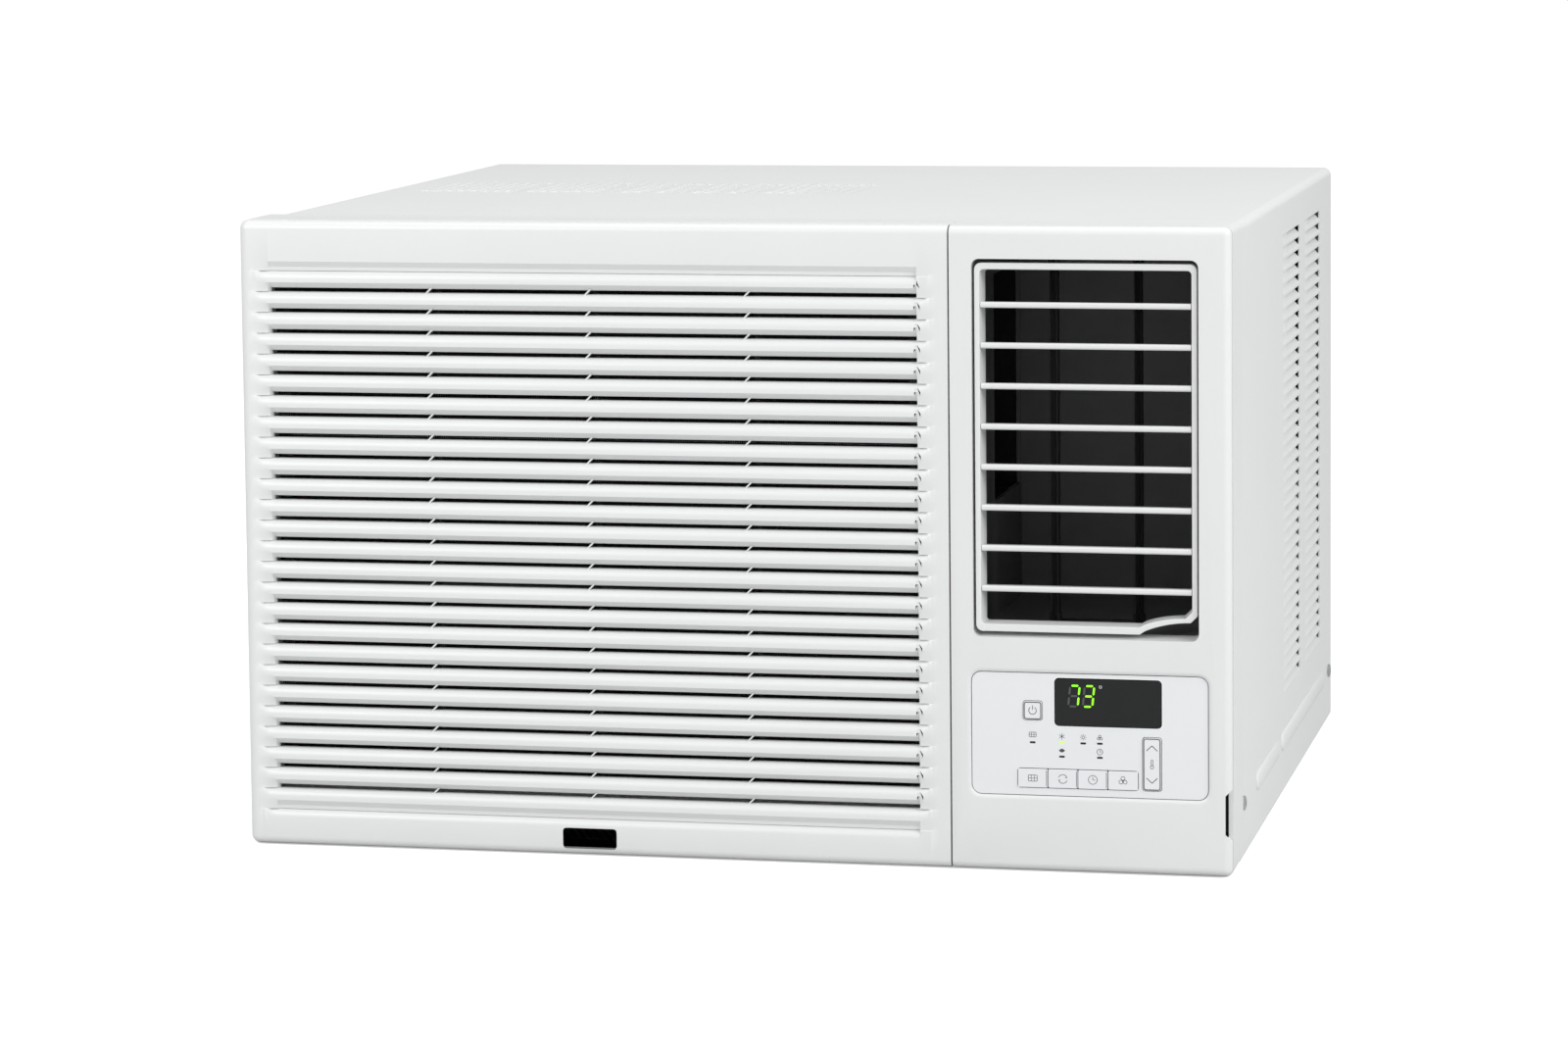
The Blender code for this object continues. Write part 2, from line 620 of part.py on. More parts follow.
def control_box():
    """Steel electrical box under the duct, open towards the case's right side."""
    bm = bmesh.new()
    add_box(bm, BOX_LOW, BOX_HIGH)
    box = as_object("control_box", bm, "galvanised_steel")
    hollow = bmesh.new()
    add_box(hollow, [corner + BOX_WALL for corner in BOX_LOW],
            (BOX_HIGH[0] + PAST, BOX_HIGH[1] - BOX_WALL, BOX_HIGH[2] - BOX_WALL))
    return cut(box, hollow)


def run_capacitor():
    """Oval-can motor capacitor lying in the electrical box."""
    bm = bmesh.new()
    add_rod(bm, (0.175, FRONT + 0.040, 0.058), (0.175, FRONT + 0.120, 0.058), 0.024, 24)
    can = as_object("run_capacitor", bm, "galvanised_steel", smooth=True)
    tabs = bmesh.new()
    for x in (0.168, 0.182):
        add_box(tabs, (x - 0.003, FRONT + 0.030, 0.0576), (x + 0.003, FRONT + 0.041, 0.0584))
    return join(can, tabs)


def power_board():
    """Relay and supply board on the electrical box's floor, with its transformer and relays."""
    bm = bmesh.new()
    add_box(bm, (0.206, FRONT + 0.030, 0.036), (0.281, FRONT + 0.145, 0.0376))
    board = as_object("power_board", bm, "board_green")
    parts = bmesh.new()
    add_box(parts, (0.214, FRONT + 0.036, 0.037), (0.250, FRONT + 0.070, 0.066))
    add_box(parts, (0.214, FRONT + 0.080, 0.037), (0.232, FRONT + 0.104, 0.057))
    add_box(parts, (0.240, FRONT + 0.080, 0.037), (0.258, FRONT + 0.104, 0.057))
    return join(board, parts)


# ---------------------------------------------------------------- case and base
def outer_case():
    """Wrapped sheet: top and two sides with a turned-in rear flange and pressed vent slots."""
    bm = bmesh.new()
    add_box(bm, (-CASE_SIDE, CASE_FRONT, 0), (CASE_SIDE, REAR, CASE_TOP))
    folds = [edge for edge in bm.edges
             if abs(edge.verts[0].co.y - edge.verts[1].co.y) > 0.1
             and all(vert.co.z > 0.1 for vert in edge.verts)]
    bmesh.ops.bevel(bm, geom=folds, offset=0.004, segments=3, profile=0.5, affect="EDGES", material=-1)
    case = as_object("outer_case", bm, "white_steel")

    hollow = bmesh.new()
    add_box(hollow, (-CASE_SIDE + SHEET, CASE_FRONT - 0.01, -0.01),
            (CASE_SIDE - SHEET, REAR - SHEET, CASE_TOP - SHEET))
    folds = [edge for edge in hollow.edges
             if abs(edge.verts[0].co.y - edge.verts[1].co.y) > 0.1
             and all(vert.co.z > 0.1 for vert in edge.verts)]
    bmesh.ops.bevel(hollow, geom=folds, offset=0.0028, segments=3, profile=0.5, affect="EDGES", material=-1)
    cut(case, hollow)
    rear = bmesh.new()
    add_box(rear, (-CASE_SIDE + 0.018, REAR - 0.01, -0.01),
            (CASE_SIDE - 0.018, REAR + 0.01, CASE_TOP - 0.018))
    cut(case, rear)

    slots = bmesh.new()
    for row in range(LOUVRE_ROWS):
        z = VENT_TOP_Z - VENT_PITCH * row
        for low_y, high_y in SIDE_BANKS:
            for side in (-1, 1):
                inner, outer = sorted((side * (CASE_SIDE - 0.004), side * (CASE_SIDE + 0.002)))
                add_box(slots, (inner, low_y, z - VENT_SLOT / 2), (outer, high_y, z + VENT_SLOT / 2))
        x = TOP_BANK_LEFT + VENT_PITCH * row
        add_box(slots, (x, TOP_BANK_Y[0], CASE_TOP - 0.004),
                (x + VENT_SLOT, TOP_BANK_Y[1], CASE_TOP + 0.002))
    for y in SCREW_YS:
        for side in (-1, 1):
            add_rod(slots, (side * (CASE_SIDE - 0.006), y, SCREW_Z),
                    (side * (CASE_SIDE + 0.002), y, SCREW_Z), 0.0028, 16)
    return cut(case, slots)


def case_screw(name, side, y):
    """Pan-head screw through the case into the base pan's wall."""
    head = CASE_SIDE + 0.0003
    bm = bmesh.new()
    profile = [(0, SIDE), (0.0032, SIDE), (0.0044, SIDE - 0.0007), (0.0046, head),
               (0.0021, head), (0.0021, PAN_SIDE - 0.0045), (0, PAN_SIDE - 0.0060)]
    add_turned(bm, profile, (0, y, SCREW_Z), (side, 0, 0), 12)
    return as_object(name, bm, "screw_steel", smooth=True)


def base_pan():
    """Galvanised pan with upturned walls and raised ribs that carries the machinery."""
    front = CASE_FRONT + 0.0005
    bm = bmesh.new()
    add_box(bm, (-PAN_SIDE, front, 0), (PAN_SIDE, REAR - 0.0016, PAN_LIP))
    pan = as_object("base_pan", bm, "galvanised_steel")
    tray = bmesh.new()
    add_box(tray, (-PAN_SIDE + PAN_WALL, front + PAN_WALL, 0.002),
            (PAN_SIDE - PAN_WALL, REAR - 0.0016 - PAN_WALL, PAN_LIP + 0.01))
    cut(pan, tray)
    low_front = bmesh.new()
    add_box(low_front, (-PAN_SIDE + PAN_WALL, front - PAST, PAN_FRONT_LIP),
            (PAN_SIDE - PAN_WALL, front + PAN_WALL + PAST, PAN_LIP + 0.01))
    cut(pan, low_front)
    holes = bmesh.new()
    for y in SCREW_YS:
        for side in (-1, 1):
            add_rod(holes, (side * (PAN_SIDE - 0.006), y, SCREW_Z),
                    (side * (PAN_SIDE + 0.004), y, SCREW_Z), 0.0025, 16)
    add_rod(holes, (-0.20, REAR - 0.10, -0.002), (-0.20, REAR - 0.10, 0.004), 0.0075, 24)
    return cut(pan, holes)


def drain_plug():
    """Rubber bung in the pan's drain hole."""
    bm = bmesh.new()
    profile = [(0, 0.0003), (0.0070, 0.0003), (0.0070, 0.0024), (0.0095, 0.0024),
               (0.0085, 0.0065), (0, 0.0065)]
    add_turned(bm, profile, (-0.20, REAR - 0.10, 0), (0, 0, 1), 20)
    return as_object("drain_plug", bm, "rubber", smooth=True)


def bulkhead():
    """Sheet wall between the room side and the outdoor side, with shaft and pipe holes."""
    wall = plain_box("bulkhead", (-0.294, BULKHEAD_Y, 0.0024), (0.294, BULKHEAD_Y + 0.0015, 0.3745),
                     "galvanised_steel")
    holes = bmesh.new()
    add_rod(holes, (SHAFT_X, BULKHEAD_Y - 0.003, SHAFT_Z), (SHAFT_X, BULKHEAD_Y + 0.005, SHAFT_Z), 0.015, 24)
    add_box(holes, (0.1125, BULKHEAD_Y - 0.003, 0.070), (0.1345, BULKHEAD_Y + 0.005, 0.130))
    return cut(wall, holes)


def cord_gland():
    """Rubber bush behind the cord notch of the front's right edge."""
    low = (BOX_HIGH[0] + 0.0007, NOTCH_BACK + 0.0019, NOTCH_Z[0] - 0.001)
    high = (NOTCH_X + 0.0007, NOTCH_BACK + 0.0101, NOTCH_Z[1] + 0.001)
    bm = bmesh.new()
    add_box(bm, low, high)
    gland = as_object("cord_gland", bm, "rubber")
    hole = bmesh.new()
    middle_y, middle_z = (low[1] + high[1]) / 2, sum(NOTCH_Z) / 2
    add_rod(hole, (low[0] - PAST, middle_y, middle_z), (high[0] + PAST, middle_y, middle_z), 0.0028, 16)
    return cut(gland, hole)


# ---------------------------------------------------------------- fans and motor
def motor_shaft():
    """One shaft carries the blower in front and the fan behind."""
    bm = bmesh.new()
    add_rod(bm, (SHAFT_X, BLOWER_SPAN[0] + 0.020, SHAFT_Z),
            (SHAFT_X, FAN_SPAN[1] + 0.012, SHAFT_Z), SHAFT_RADIUS, 20)
    return as_object("motor_shaft", bm, "screw_steel", (SHAFT_X, FRONT + 0.29, SHAFT_Z), smooth=True)


def blower_wheel():
    """Squirrel-cage wheel: back plate with hub, slotted drum and front ring."""
    start, end = BLOWER_SPAN
    length = end - start
    bore = SHAFT_RADIUS + 0.0003
    profile = [(BLOWER_RADIUS, 0), (BLOWER_RADIUS, length), (bore, length), (bore, length - 0.030),
               (0.014, length - 0.030), (0.018, length - 0.0025), (BLOWER_RADIUS - 0.012, length - 0.0025),
               (BLOWER_RADIUS - 0.012, 0)]
    bm = bmesh.new()
    add_turned(bm, profile, (SHAFT_X, start, SHAFT_Z), (0, 1, 0), 36, closed=True)
    wheel = as_object("blower_wheel", bm, "black_plastic", (SHAFT_X, start, SHAFT_Z))
    slots = bmesh.new()
    count = 24
    middle = BLOWER_RADIUS - 0.006
    for blade in range(count):
        turn = Matrix.Rotation(2 * math.pi * (blade + 0.5) / count, 4, "Y")
        place = Matrix.Translation((SHAFT_X, start + length / 2 - 0.001, SHAFT_Z)) @ turn
        made = bmesh.ops.create_cube(slots, size=1.0)["verts"]
        bmesh.ops.scale(slots, vec=(0.020, length - 0.014, 0.0150), verts=made)
        bmesh.ops.rotate(slots, verts=made, matrix=Matrix.Rotation(math.radians(28), 3, "Y"))
        bmesh.ops.translate(slots, vec=(middle, 0, 0), verts=made)
        bmesh.ops.transform(slots, matrix=place, verts=made)
    return cut(wheel, slots)


def spiral_outline(margin, tongue_x):
    """Scroll outline in X, Z: a spiral about the shaft that opens into a throat at the upper right."""
    start_radius = 0.112
    growth = 0.036
    points = []
    steps = 27
    for step in range(steps + 1):
        part = step / steps
        angle = math.radians(-5 - 265 * part)
        radius = start_radius + growth * part + margin
        points.append((SHAFT_X + radius * math.cos(angle), SHAFT_Z + radius * math.sin(angle)))
    top = points[-1][1]
    points.append((tongue_x, top))
    points.append((tongue_x, SHAFT_Z + 0.008 - margin))
    points.append((points[0][0] + 0.006, SHAFT_Z + 0.008 - margin))
    return points


def blower_scroll():
    """Spiral housing round the blower, with a round inlet in front and a throat to the duct."""
    end_x = MOUTH_LEFT - 0.007 - GAP
    wall = 0.003
    bm = bmesh.new()
    add_prism(bm, spiral_outline(wall, end_x), *SCROLL_SPAN)
    scroll = as_object("blower_scroll", bm, "foam")
    hollow = bmesh.new()
    add_prism(hollow, spiral_outline(0, end_x + 0.01), SCROLL_SPAN[0] + wall, SCROLL_SPAN[1] - wall)
    cut(scroll, hollow)
    inlet = bmesh.new()
    add_rod(inlet, (SHAFT_X, SCROLL_SPAN[0] - wall, SHAFT_Z),
            (SHAFT_X, SCROLL_SPAN[0] + 2 * wall, SHAFT_Z), SCROLL_EYE, 40)
    add_rod(inlet, (SHAFT_X, SCROLL_SPAN[1] - 2 * wall, SHAFT_Z),
            (SHAFT_X, SCROLL_SPAN[1] + wall, SHAFT_Z), SHAFT_CLEARANCE, 24)
    return cut(scroll, inlet)


def fan_motor():
    """Double-shafted motor with domed end bells and a bore for its shaft."""
    length = MOTOR_SPAN[1] - MOTOR_SPAN[0]
    bore = SHAFT_RADIUS + 0.0004
    profile = [(bore, 0), (0.016, 0), (0.020, 0.008), (0.050, 0.012), (MOTOR_RADIUS, 0.022),
               (MOTOR_RADIUS, length - 0.022), (0.050, length - 0.012), (0.020, length - 0.008),
               (0.016, length), (bore, length)]
    bm = bmesh.new()
    add_turned(bm, profile, (SHAFT_X, MOTOR_SPAN[0], SHAFT_Z), (0, 1, 0), 24, closed=True)
    return as_object("fan_motor", bm, "galvanised_steel", smooth=True)


def motor_bracket():
    """Folded stand with a cradle under the motor."""
    middle_y = (MOTOR_SPAN[0] + MOTOR_SPAN[1]) / 2
    bm = bmesh.new()
    add_box(bm, (SHAFT_X - 0.070, middle_y - 0.012, 0.0024), (SHAFT_X + 0.070, middle_y + 0.012, 0.180))
    stand = as_object("motor_bracket", bm, "galvanised_steel")
    away = bmesh.new()
    add_rod(away, (SHAFT_X, middle_y - 0.03, SHAFT_Z), (SHAFT_X, middle_y + 0.03, SHAFT_Z),
            MOTOR_RADIUS + GAP, 32)
    cut(stand, away)
    relief = bmesh.new()
    add_box(relief, (SHAFT_X - 0.080, middle_y - 0.0095, 0.0044), (SHAFT_X + 0.080, middle_y + 0.0095, 0.124))
    return cut(stand, relief)


def condenser_fan():
    """Five pitched blades on a hub, with a slinger ring that lifts condensate."""
    middle = (FAN_SPAN[0] + FAN_SPAN[1]) / 2
    centre = Vector((SHAFT_X, middle, SHAFT_Z))
    bore = SHAFT_RADIUS + 0.0003
    hub_profile = [(bore, -0.018), (0.030, -0.018), (0.034, -0.014), (0.034, 0.012),
                   (0.024, 0.018), (bore, 0.018)]
    bm = bmesh.new()
    add_turned(bm, hub_profile, centre, (0, 1, 0), 20, closed=True)
    fan = as_object("condenser_fan", bm, "black_plastic", centre)
    blades = bmesh.new()
    for blade in range(FAN_BLADES):
        spin = Matrix.Rotation(2 * math.pi * blade / FAN_BLADES, 4, "Y")
        pitch = Matrix.Rotation(math.radians(FAN_PITCH), 4, "X")
        place = Matrix.Translation(centre) @ spin @ pitch
        outline = [(0.026, -0.018), (0.060, -0.034), (0.105, -0.048), (0.1425, -0.046),
                   (0.1440, -0.010), (0.1425, 0.040), (0.100, 0.034), (0.060, 0.024), (0.026, 0.014)]
        made = add_prism(blades, outline, -0.0011, 0.0011)
        bmesh.ops.transform(blades, matrix=place, verts=made)
    join(fan, blades, several=True)
    ring = bmesh.new()
    inner = FAN_RADIUS - 0.005
    ring_profile = [(inner, -0.009), (FAN_RADIUS, -0.009), (FAN_RADIUS, 0.009), (inner, 0.009)]
    add_turned(ring, ring_profile, centre, (0, 1, 0), 36, closed=True)
    return join(fan, ring)


def fan_shroud():
    """Shroud that ducts the fan onto the condenser: front wall with a round orifice, closed sides."""
    low = (-0.290, FRONT + 0.374, 0.0290)
    high = (0.118, FRONT + 0.474, 0.366)
    bm = bmesh.new()
    add_box(bm, low, high)
    shroud = as_object("fan_shroud", bm, "foam")
    hollow = bmesh.new()
    wall = 0.003
    add_box(hollow, (low[0] + wall, low[1] + wall, low[2] + wall),
            (high[0] - wall, high[1] + 0.01, high[2] - wall))
    cut(shroud, hollow)
    orifice = bmesh.new()
    add_rod(orifice, (SHAFT_X, low[1] - wall, SHAFT_Z), (SHAFT_X, low[1] + 2 * wall, SHAFT_Z),
            FAN_RADIUS + 0.006, 48)
    return cut(shroud, orifice)


# ---------------------------------------------------------------- sealed refrigerant circuit
def coil(name, left, right, span, bottom, top):
    """Fin block between two end plates with hairpin bends beyond its left plate."""
    bm = bmesh.new()
    add_box(bm, (left + 0.014, span[0], bottom), (right - 0.001, span[1], top))
    block = as_object(name, bm, "fin_aluminium")
    plates = bmesh.new()
    for x in (left + 0.0135, right - 0.0025):
        add_box(plates, (x, span[0] - 0.0015, bottom - 0.0015), (x + 0.0025, span[1] + 0.0015, top + 0.0015))
    join(block, plates)
    hairpins = bmesh.new()
    pitch = 0.025
    middle = (span[0] + span[1]) / 2
    rows = int((top - bottom - 0.02) / (2 * pitch))
    for row in range(rows):
        z = bottom + 0.022 + 2 * pitch * row
        for y in (middle - 0.011, middle + 0.011):
            add_hairpin(hairpins, (left + 0.0145, y, z + pitch / 2), pitch / 2, 0.0035)
    return join(block, hairpins)


def add_hairpin(bm, centre, radius, tube):
    """Half a torus that bulges towards -X, closed at both ends."""
    start = bmesh.ops.create_circle(bm, cap_ends=True, segments=6, radius=tube)["verts"]
    bmesh.ops.rotate(bm, verts=start, matrix=Matrix.Rotation(math.radians(90), 3, "Y"))
    bmesh.ops.translate(bm, verts=start, vec=Vector(centre) + Vector((0, 0, -radius)))
    face = start[0].link_faces[0]
    bmesh.ops.spin(bm, geom=[face], cent=centre, axis=(0, 1, 0), angle=math.pi, steps=4,
                   use_duplicate=False)


def evaporator_coil():
    """Room-side coil behind the filter."""
    return coil("evaporator_coil", -0.287, 0.106, EVAPORATOR_SPAN, 0.036, 0.348)


def evaporator_tray():
    """Moulded condensate tray under the evaporator and blower."""
    low = (-0.288, CASE_FRONT + 0.004, 0.0030)
    high = (0.130, BULKHEAD_Y - 0.003, 0.0325)
    bm = bmesh.new()
    add_box(bm, low, high)
    tray = as_object("evaporator_tray", bm, "foam")
    hollow = bmesh.new()
    add_box(hollow, (low[0] + 0.005, low[1] + 0.005, low[2] + 0.012),
            (high[0] - 0.005, high[1] - 0.005, high[2] + 0.01))
    return cut(tray, hollow)


def condenser_coil():
    """Outdoor coil across the rear opening."""
    return coil("condenser_coil", -0.291, 0.291, CONDENSER_SPAN, 0.031, 0.366)


def compressor():
    """Hermetic shell on a three-footed plate."""
    base = 0.022
    profile = [(0, base), (0.045, base), (COMPRESSOR_RADIUS, base + 0.018), (COMPRESSOR_RADIUS, 0.120),
               (COMPRESSOR_RADIUS + 0.003, 0.123), (COMPRESSOR_RADIUS + 0.003, 0.127),
               (COMPRESSOR_RADIUS, 0.130), (COMPRESSOR_RADIUS, 0.215), (0.046, 0.238),
               (0.020, 0.245), (0, 0.246)]
    bm = bmesh.new()
    add_turned(bm, profile, (COMPRESSOR_X, COMPRESSOR_Y, 0), (0, 0, 1), 28)
    shell = as_object("compressor", bm, "compressor_enamel", smooth=True)
    plate = bmesh.new()
    outline = []
    for foot in range(3):
        angle = math.radians(90 + 120 * foot)
        for spread in (-12, 12):
            corner = angle + math.radians(spread)
            outline.append((COMPRESSOR_X + PLATE_REACH * math.cos(corner),
                            COMPRESSOR_Y + PLATE_REACH * math.sin(corner)))
    add_prism(plate, outline, base + 0.001, base + 0.005, axis="Z")
    join(shell, plate)
    holes = bmesh.new()
    for x, y in foot_places():
        add_rod(holes, (x, y, base - 0.002), (x, y, base + 0.008), 0.0055, 16)
    return cut(shell, holes)


def foot_places():
    """Centres of the compressor's three feet."""
    angles = [math.radians(90 + 120 * foot) for foot in range(3)]
    return [(COMPRESSOR_X + FOOT_REACH * math.cos(angle),
             COMPRESSOR_Y + FOOT_REACH * math.sin(angle)) for angle in angles]


def compressor_mounts():
    """Rubber grommet and shouldered bolt under each foot."""
    for number, (x, y) in enumerate(foot_places(), 1):
        bm = bmesh.new()
        profile = [(0.0032, 0.0024), (0.011, 0.0024), (0.011, 0.0224), (0.0051, 0.0224),
                   (0.0051, 0.0276), (0.009, 0.0276), (0.009, 0.0300), (0.0032, 0.0300)]
        add_turned(bm, profile, (x, y, 0), (0, 0, 1), 10, closed=True)
        as_object(f"compressor_grommet_{number}", bm, "rubber", smooth=True)
        bm = bmesh.new()
        profile = [(0, 0.0024), (0.0028, 0.0024), (0.0028, 0.0304), (0.0068, 0.0304),
                   (0.0068, 0.0350), (0, 0.0350)]
        add_turned(bm, profile, (x, y, 0), (0, 0, 1), 6)
        as_object(f"compressor_bolt_{number}", bm, "screw_steel")


def accumulator():
    """Suction accumulator beside the compressor."""
    bm = bmesh.new()
    profile = [(0, 0.070), (0.010, 0.072), (0.021, 0.084), (0.021, 0.196), (0.010, 0.208), (0, 0.210)]
    add_turned(bm, profile, (TANK_X, TANK_Y, 0), (0, 0, 1), 24)
    return as_object("accumulator", bm, "compressor_enamel", smooth=True)


def refrigerant_pipes():
    """Discharge, suction and liquid lines, bent from copper tube."""
    rear_face = CONDENSER_SPAN[0] - 0.0020
    cold_face = EVAPORATOR_SPAN[1] + 0.0020
    pipe("discharge_pipe", [(COMPRESSOR_X, COMPRESSOR_Y, 0.2465), (COMPRESSOR_X, COMPRESSOR_Y, 0.320),
                            (0.235, COMPRESSOR_Y, 0.320), (0.235, rear_face, 0.320)], 0.004, 0.014)
    pipe("suction_pipe", [(0.095, cold_face, 0.090), (0.095, cold_face + 0.006, 0.090),
                          (0.123, cold_face + 0.020, 0.090), (0.123, BULKHEAD_Y + 0.060, 0.090),
                          (0.131, BULKHEAD_Y + 0.060, 0.290), (0.131, TANK_Y, 0.290),
                          (TANK_X, TANK_Y, 0.290), (TANK_X, TANK_Y, 0.2110)], PIPE_RADIUS, 0.008)
    pipe("accumulator_pipe", [(TANK_X, TANK_Y, 0.0695), (TANK_X, TANK_Y, 0.052),
                              (0.2385, COMPRESSOR_Y + 0.0535, 0.052)], PIPE_RADIUS, 0.008)
    pipe("capillary_tube", [(0.262, rear_face, 0.055), (0.262, rear_face - 0.008, 0.055),
                            (0.128, rear_face - 0.008, 0.055), (0.128, BULKHEAD_Y + 0.060, 0.055),
                            (0.1235, BULKHEAD_Y + 0.020, 0.0765), (0.1235, BULKHEAD_Y - 0.020, 0.0765),
                            (0.1235, cold_face + 0.030, 0.060), (0.100, cold_face, 0.060)], 0.0018, 0.006)


def heater_element():
    """Mica-board heater frame across the scroll's throat, with its zigzag element bars."""
    low = (0.062, SCROLL_SPAN[0] + 0.006, 0.210)
    high = (0.086, SCROLL_SPAN[1] - 0.006, 0.334)
    bm = bmesh.new()
    add_box(bm, low, high)
    frame = as_object("heater_element", bm, "mica")
    windows = bmesh.new()
    bars = 6
    pitch = (high[2] - low[2] - 0.008) / bars
    for bar in range(bars):
        bottom = low[2] + 0.004 + pitch * bar
        add_box(windows, (low[0] - 0.001, low[1] + 0.004, bottom + 0.002),
                (high[0] + 0.001, high[1] - 0.004, bottom + pitch - 0.002))
    return cut(frame, windows)


def room_sensor():
    """Return-air temperature sensor clipped in front of the evaporator."""
    bm = bmesh.new()
    y = BEZEL_BACK - 0.004
    add_rod(bm, (0.060, y, 0.070), (0.060, y, 0.100), 0.003, 12)
    return as_object("room_sensor", bm, "black_plastic", smooth=True)


def build():
    """Model every piece of the unit."""
    clear_scene()
    front_bezel()
    inlet_grille()
    badge()
    filter_frame()
    filter_net()
    outlet_louvre_frame()
    for name, x in zip(("vane_left", "vane_right"), VANE_X):
        vertical_vane(name, x)
    vane_link_bar()
    discharge_duct()
    control_panel()
    display_window()
    control_keys()
    control_board()
    control_box()
    run_capacitor()
    power_board()
    outer_case()
    for y, place in zip(SCREW_YS, ("front", "rear")):
        for side, hand in ((-1, "left"), (1, "right")):
            case_screw(f"case_screw_{place}_{hand}", side, y)
    base_pan()
    drain_plug()
    bulkhead()
    cord_gland()
    motor_shaft()
    blower_wheel()
    blower_scroll()
    fan_motor()
    motor_bracket()
    condenser_fan()
    fan_shroud()
    evaporator_coil()
    evaporator_tray()
    condenser_coil()
    compressor()
    compressor_mounts()
    accumulator()
    refrigerant_pipes()
    heater_element()
    room_sensor()


build()
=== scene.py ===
"""Looks of the window air conditioner as an add-on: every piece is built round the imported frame."""

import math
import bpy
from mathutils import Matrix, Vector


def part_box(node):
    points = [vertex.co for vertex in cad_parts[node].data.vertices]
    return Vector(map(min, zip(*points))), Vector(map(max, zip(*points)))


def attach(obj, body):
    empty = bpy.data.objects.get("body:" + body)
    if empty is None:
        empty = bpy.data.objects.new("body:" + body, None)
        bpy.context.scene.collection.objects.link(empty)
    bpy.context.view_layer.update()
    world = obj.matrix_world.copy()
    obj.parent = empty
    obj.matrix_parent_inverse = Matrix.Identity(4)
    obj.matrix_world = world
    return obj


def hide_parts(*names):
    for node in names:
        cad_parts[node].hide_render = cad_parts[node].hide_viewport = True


bl_info = {
    "name": "Window Air Conditioner",
    "version": (1, 0, 0),
    "blender": (4, 5, 0),
    "location": "View3D > Sidebar > Window Unit",
    "description": "Builds a window air conditioner round its packed frame",
    "category": "Add Mesh",
}

import bmesh
import bpy
from bpy.props import FloatProperty, FloatVectorProperty, IntProperty, PointerProperty
from mathutils import Matrix, Vector

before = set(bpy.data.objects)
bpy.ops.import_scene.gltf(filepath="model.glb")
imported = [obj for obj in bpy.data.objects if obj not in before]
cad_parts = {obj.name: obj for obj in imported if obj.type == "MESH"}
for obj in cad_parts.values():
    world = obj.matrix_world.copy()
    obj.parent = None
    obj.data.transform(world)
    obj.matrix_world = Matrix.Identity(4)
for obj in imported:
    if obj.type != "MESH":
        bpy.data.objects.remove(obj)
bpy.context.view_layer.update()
MM = 0.001

GRILLE_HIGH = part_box("inlet_grille")[1]
BEZEL_LOW, BEZEL_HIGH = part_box("front_bezel")
PANEL_LOW, PANEL_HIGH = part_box("control_panel")
FILTER_LOW, FILTER_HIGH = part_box("filter_frame")
FRONT = BEZEL_LOW[1]

MOUTH_LOW, MOUTH_HIGH, MOUTH_ROUND = (147.6 * MM, 138.5 * MM), (280.6 * MM, 360.4 * MM), 4.5 * MM
INTAKE_LOW, INTAKE_HIGH = (-286 * MM, 34 * MM), (112 * MM, 350 * MM)
PANEL_ROUND = 6 * MM
TIE_PLACES = (-182 * MM, -84 * MM, 12.8 * MM)
FILTER_BARS_X, FILTER_BARS_Z = (-185 * MM, -86 * MM, 13 * MM), (157 * MM, 246 * MM)
SLAT_COUNT, SLAT_TOP, SLAT_PITCH = 8, 333.3 * MM, 23.8 * MM
VANE_SPAN = (141.5 * MM, 358.0 * MM)
DIGIT_LEFTS, DIGIT_FOOT = (203.6 * MM, 212.2 * MM), 98.6 * MM
SIDE_BANKS = ((FRONT + 273 * MM, FRONT + 368 * MM), (FRONT + 398 * MM, FRONT + 489 * MM))
TOP_BANK, TOP_BANK_LEFT = (FRONT + 281 * MM, FRONT + 362 * MM), -270 * MM
BEAD_SPANS, BEAD_HEIGHT = ((FRONT + 130 * MM, FRONT + 243 * MM), (FRONT + 262 * MM, FRONT + 505 * MM)), 32 * MM
NOTCH_LOW, NOTCH_HIGH, NOTCH_DEEP, NOTCH_FLARE = 25 * MM, 48 * MM, 4.5 * MM, 5.2 * MM
LAMP_ON = (199.7, 76.8)
LAMPS_OFF = ((182.4, 76.6), (212.3, 76.8), (222.1, 76.9), (199.7, 68.6), (222.1, 68.6))
PRINT_RISE = 0.05 * MM
AIM = Vector((0, 0, 190 * MM))
CAMERA_PLACE = (0.6474, FRONT - 2.7704, 0.5938)
CAMERA_TURN = (12.44, 5.01, -0.56)
SOFTBOXES = (
    ("top_softbox", (0.0, 0.1, 2.2), 1.6, 9.0),
    ("left_softbox", (-1.1, -1.7, 1.2), 1.0, 15.5),
    ("right_softbox", (2.2, -1.2, 1.6), 1.4, 42.0),
)


def corners(name):
    """A frame node's low and high corner as vectors."""
    low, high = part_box(name)
    return Vector(low), Vector(high)


def face_corners(name, out=0):
    """The low and high corner of a node's front in X and Z, grown by a margin."""
    low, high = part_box(name)
    return (low[0] - out, low[2] - out), (high[0] + out, high[2] + out)


def grown(low, high, out):
    """Two X-Z corners moved apart by a margin."""
    return (low[0] - out, low[1] - out), (high[0] + out, high[1] + out)


def linear(hex_colour):
    """An sRGB hex colour as linear red, green and blue."""
    parts = [int(hex_colour[i:i + 2], 16) / 255 for i in (1, 3, 5)]
    return tuple(v / 12.92 if v <= 0.04045 else ((v + 0.055) / 1.055) ** 2.4 for v in parts)


# ---------------------------------------------------------------- settings
def length(label, words, metres):
    """A length property in metres."""
    return FloatProperty(name=label, description=words, default=metres, unit="LENGTH", precision=5)


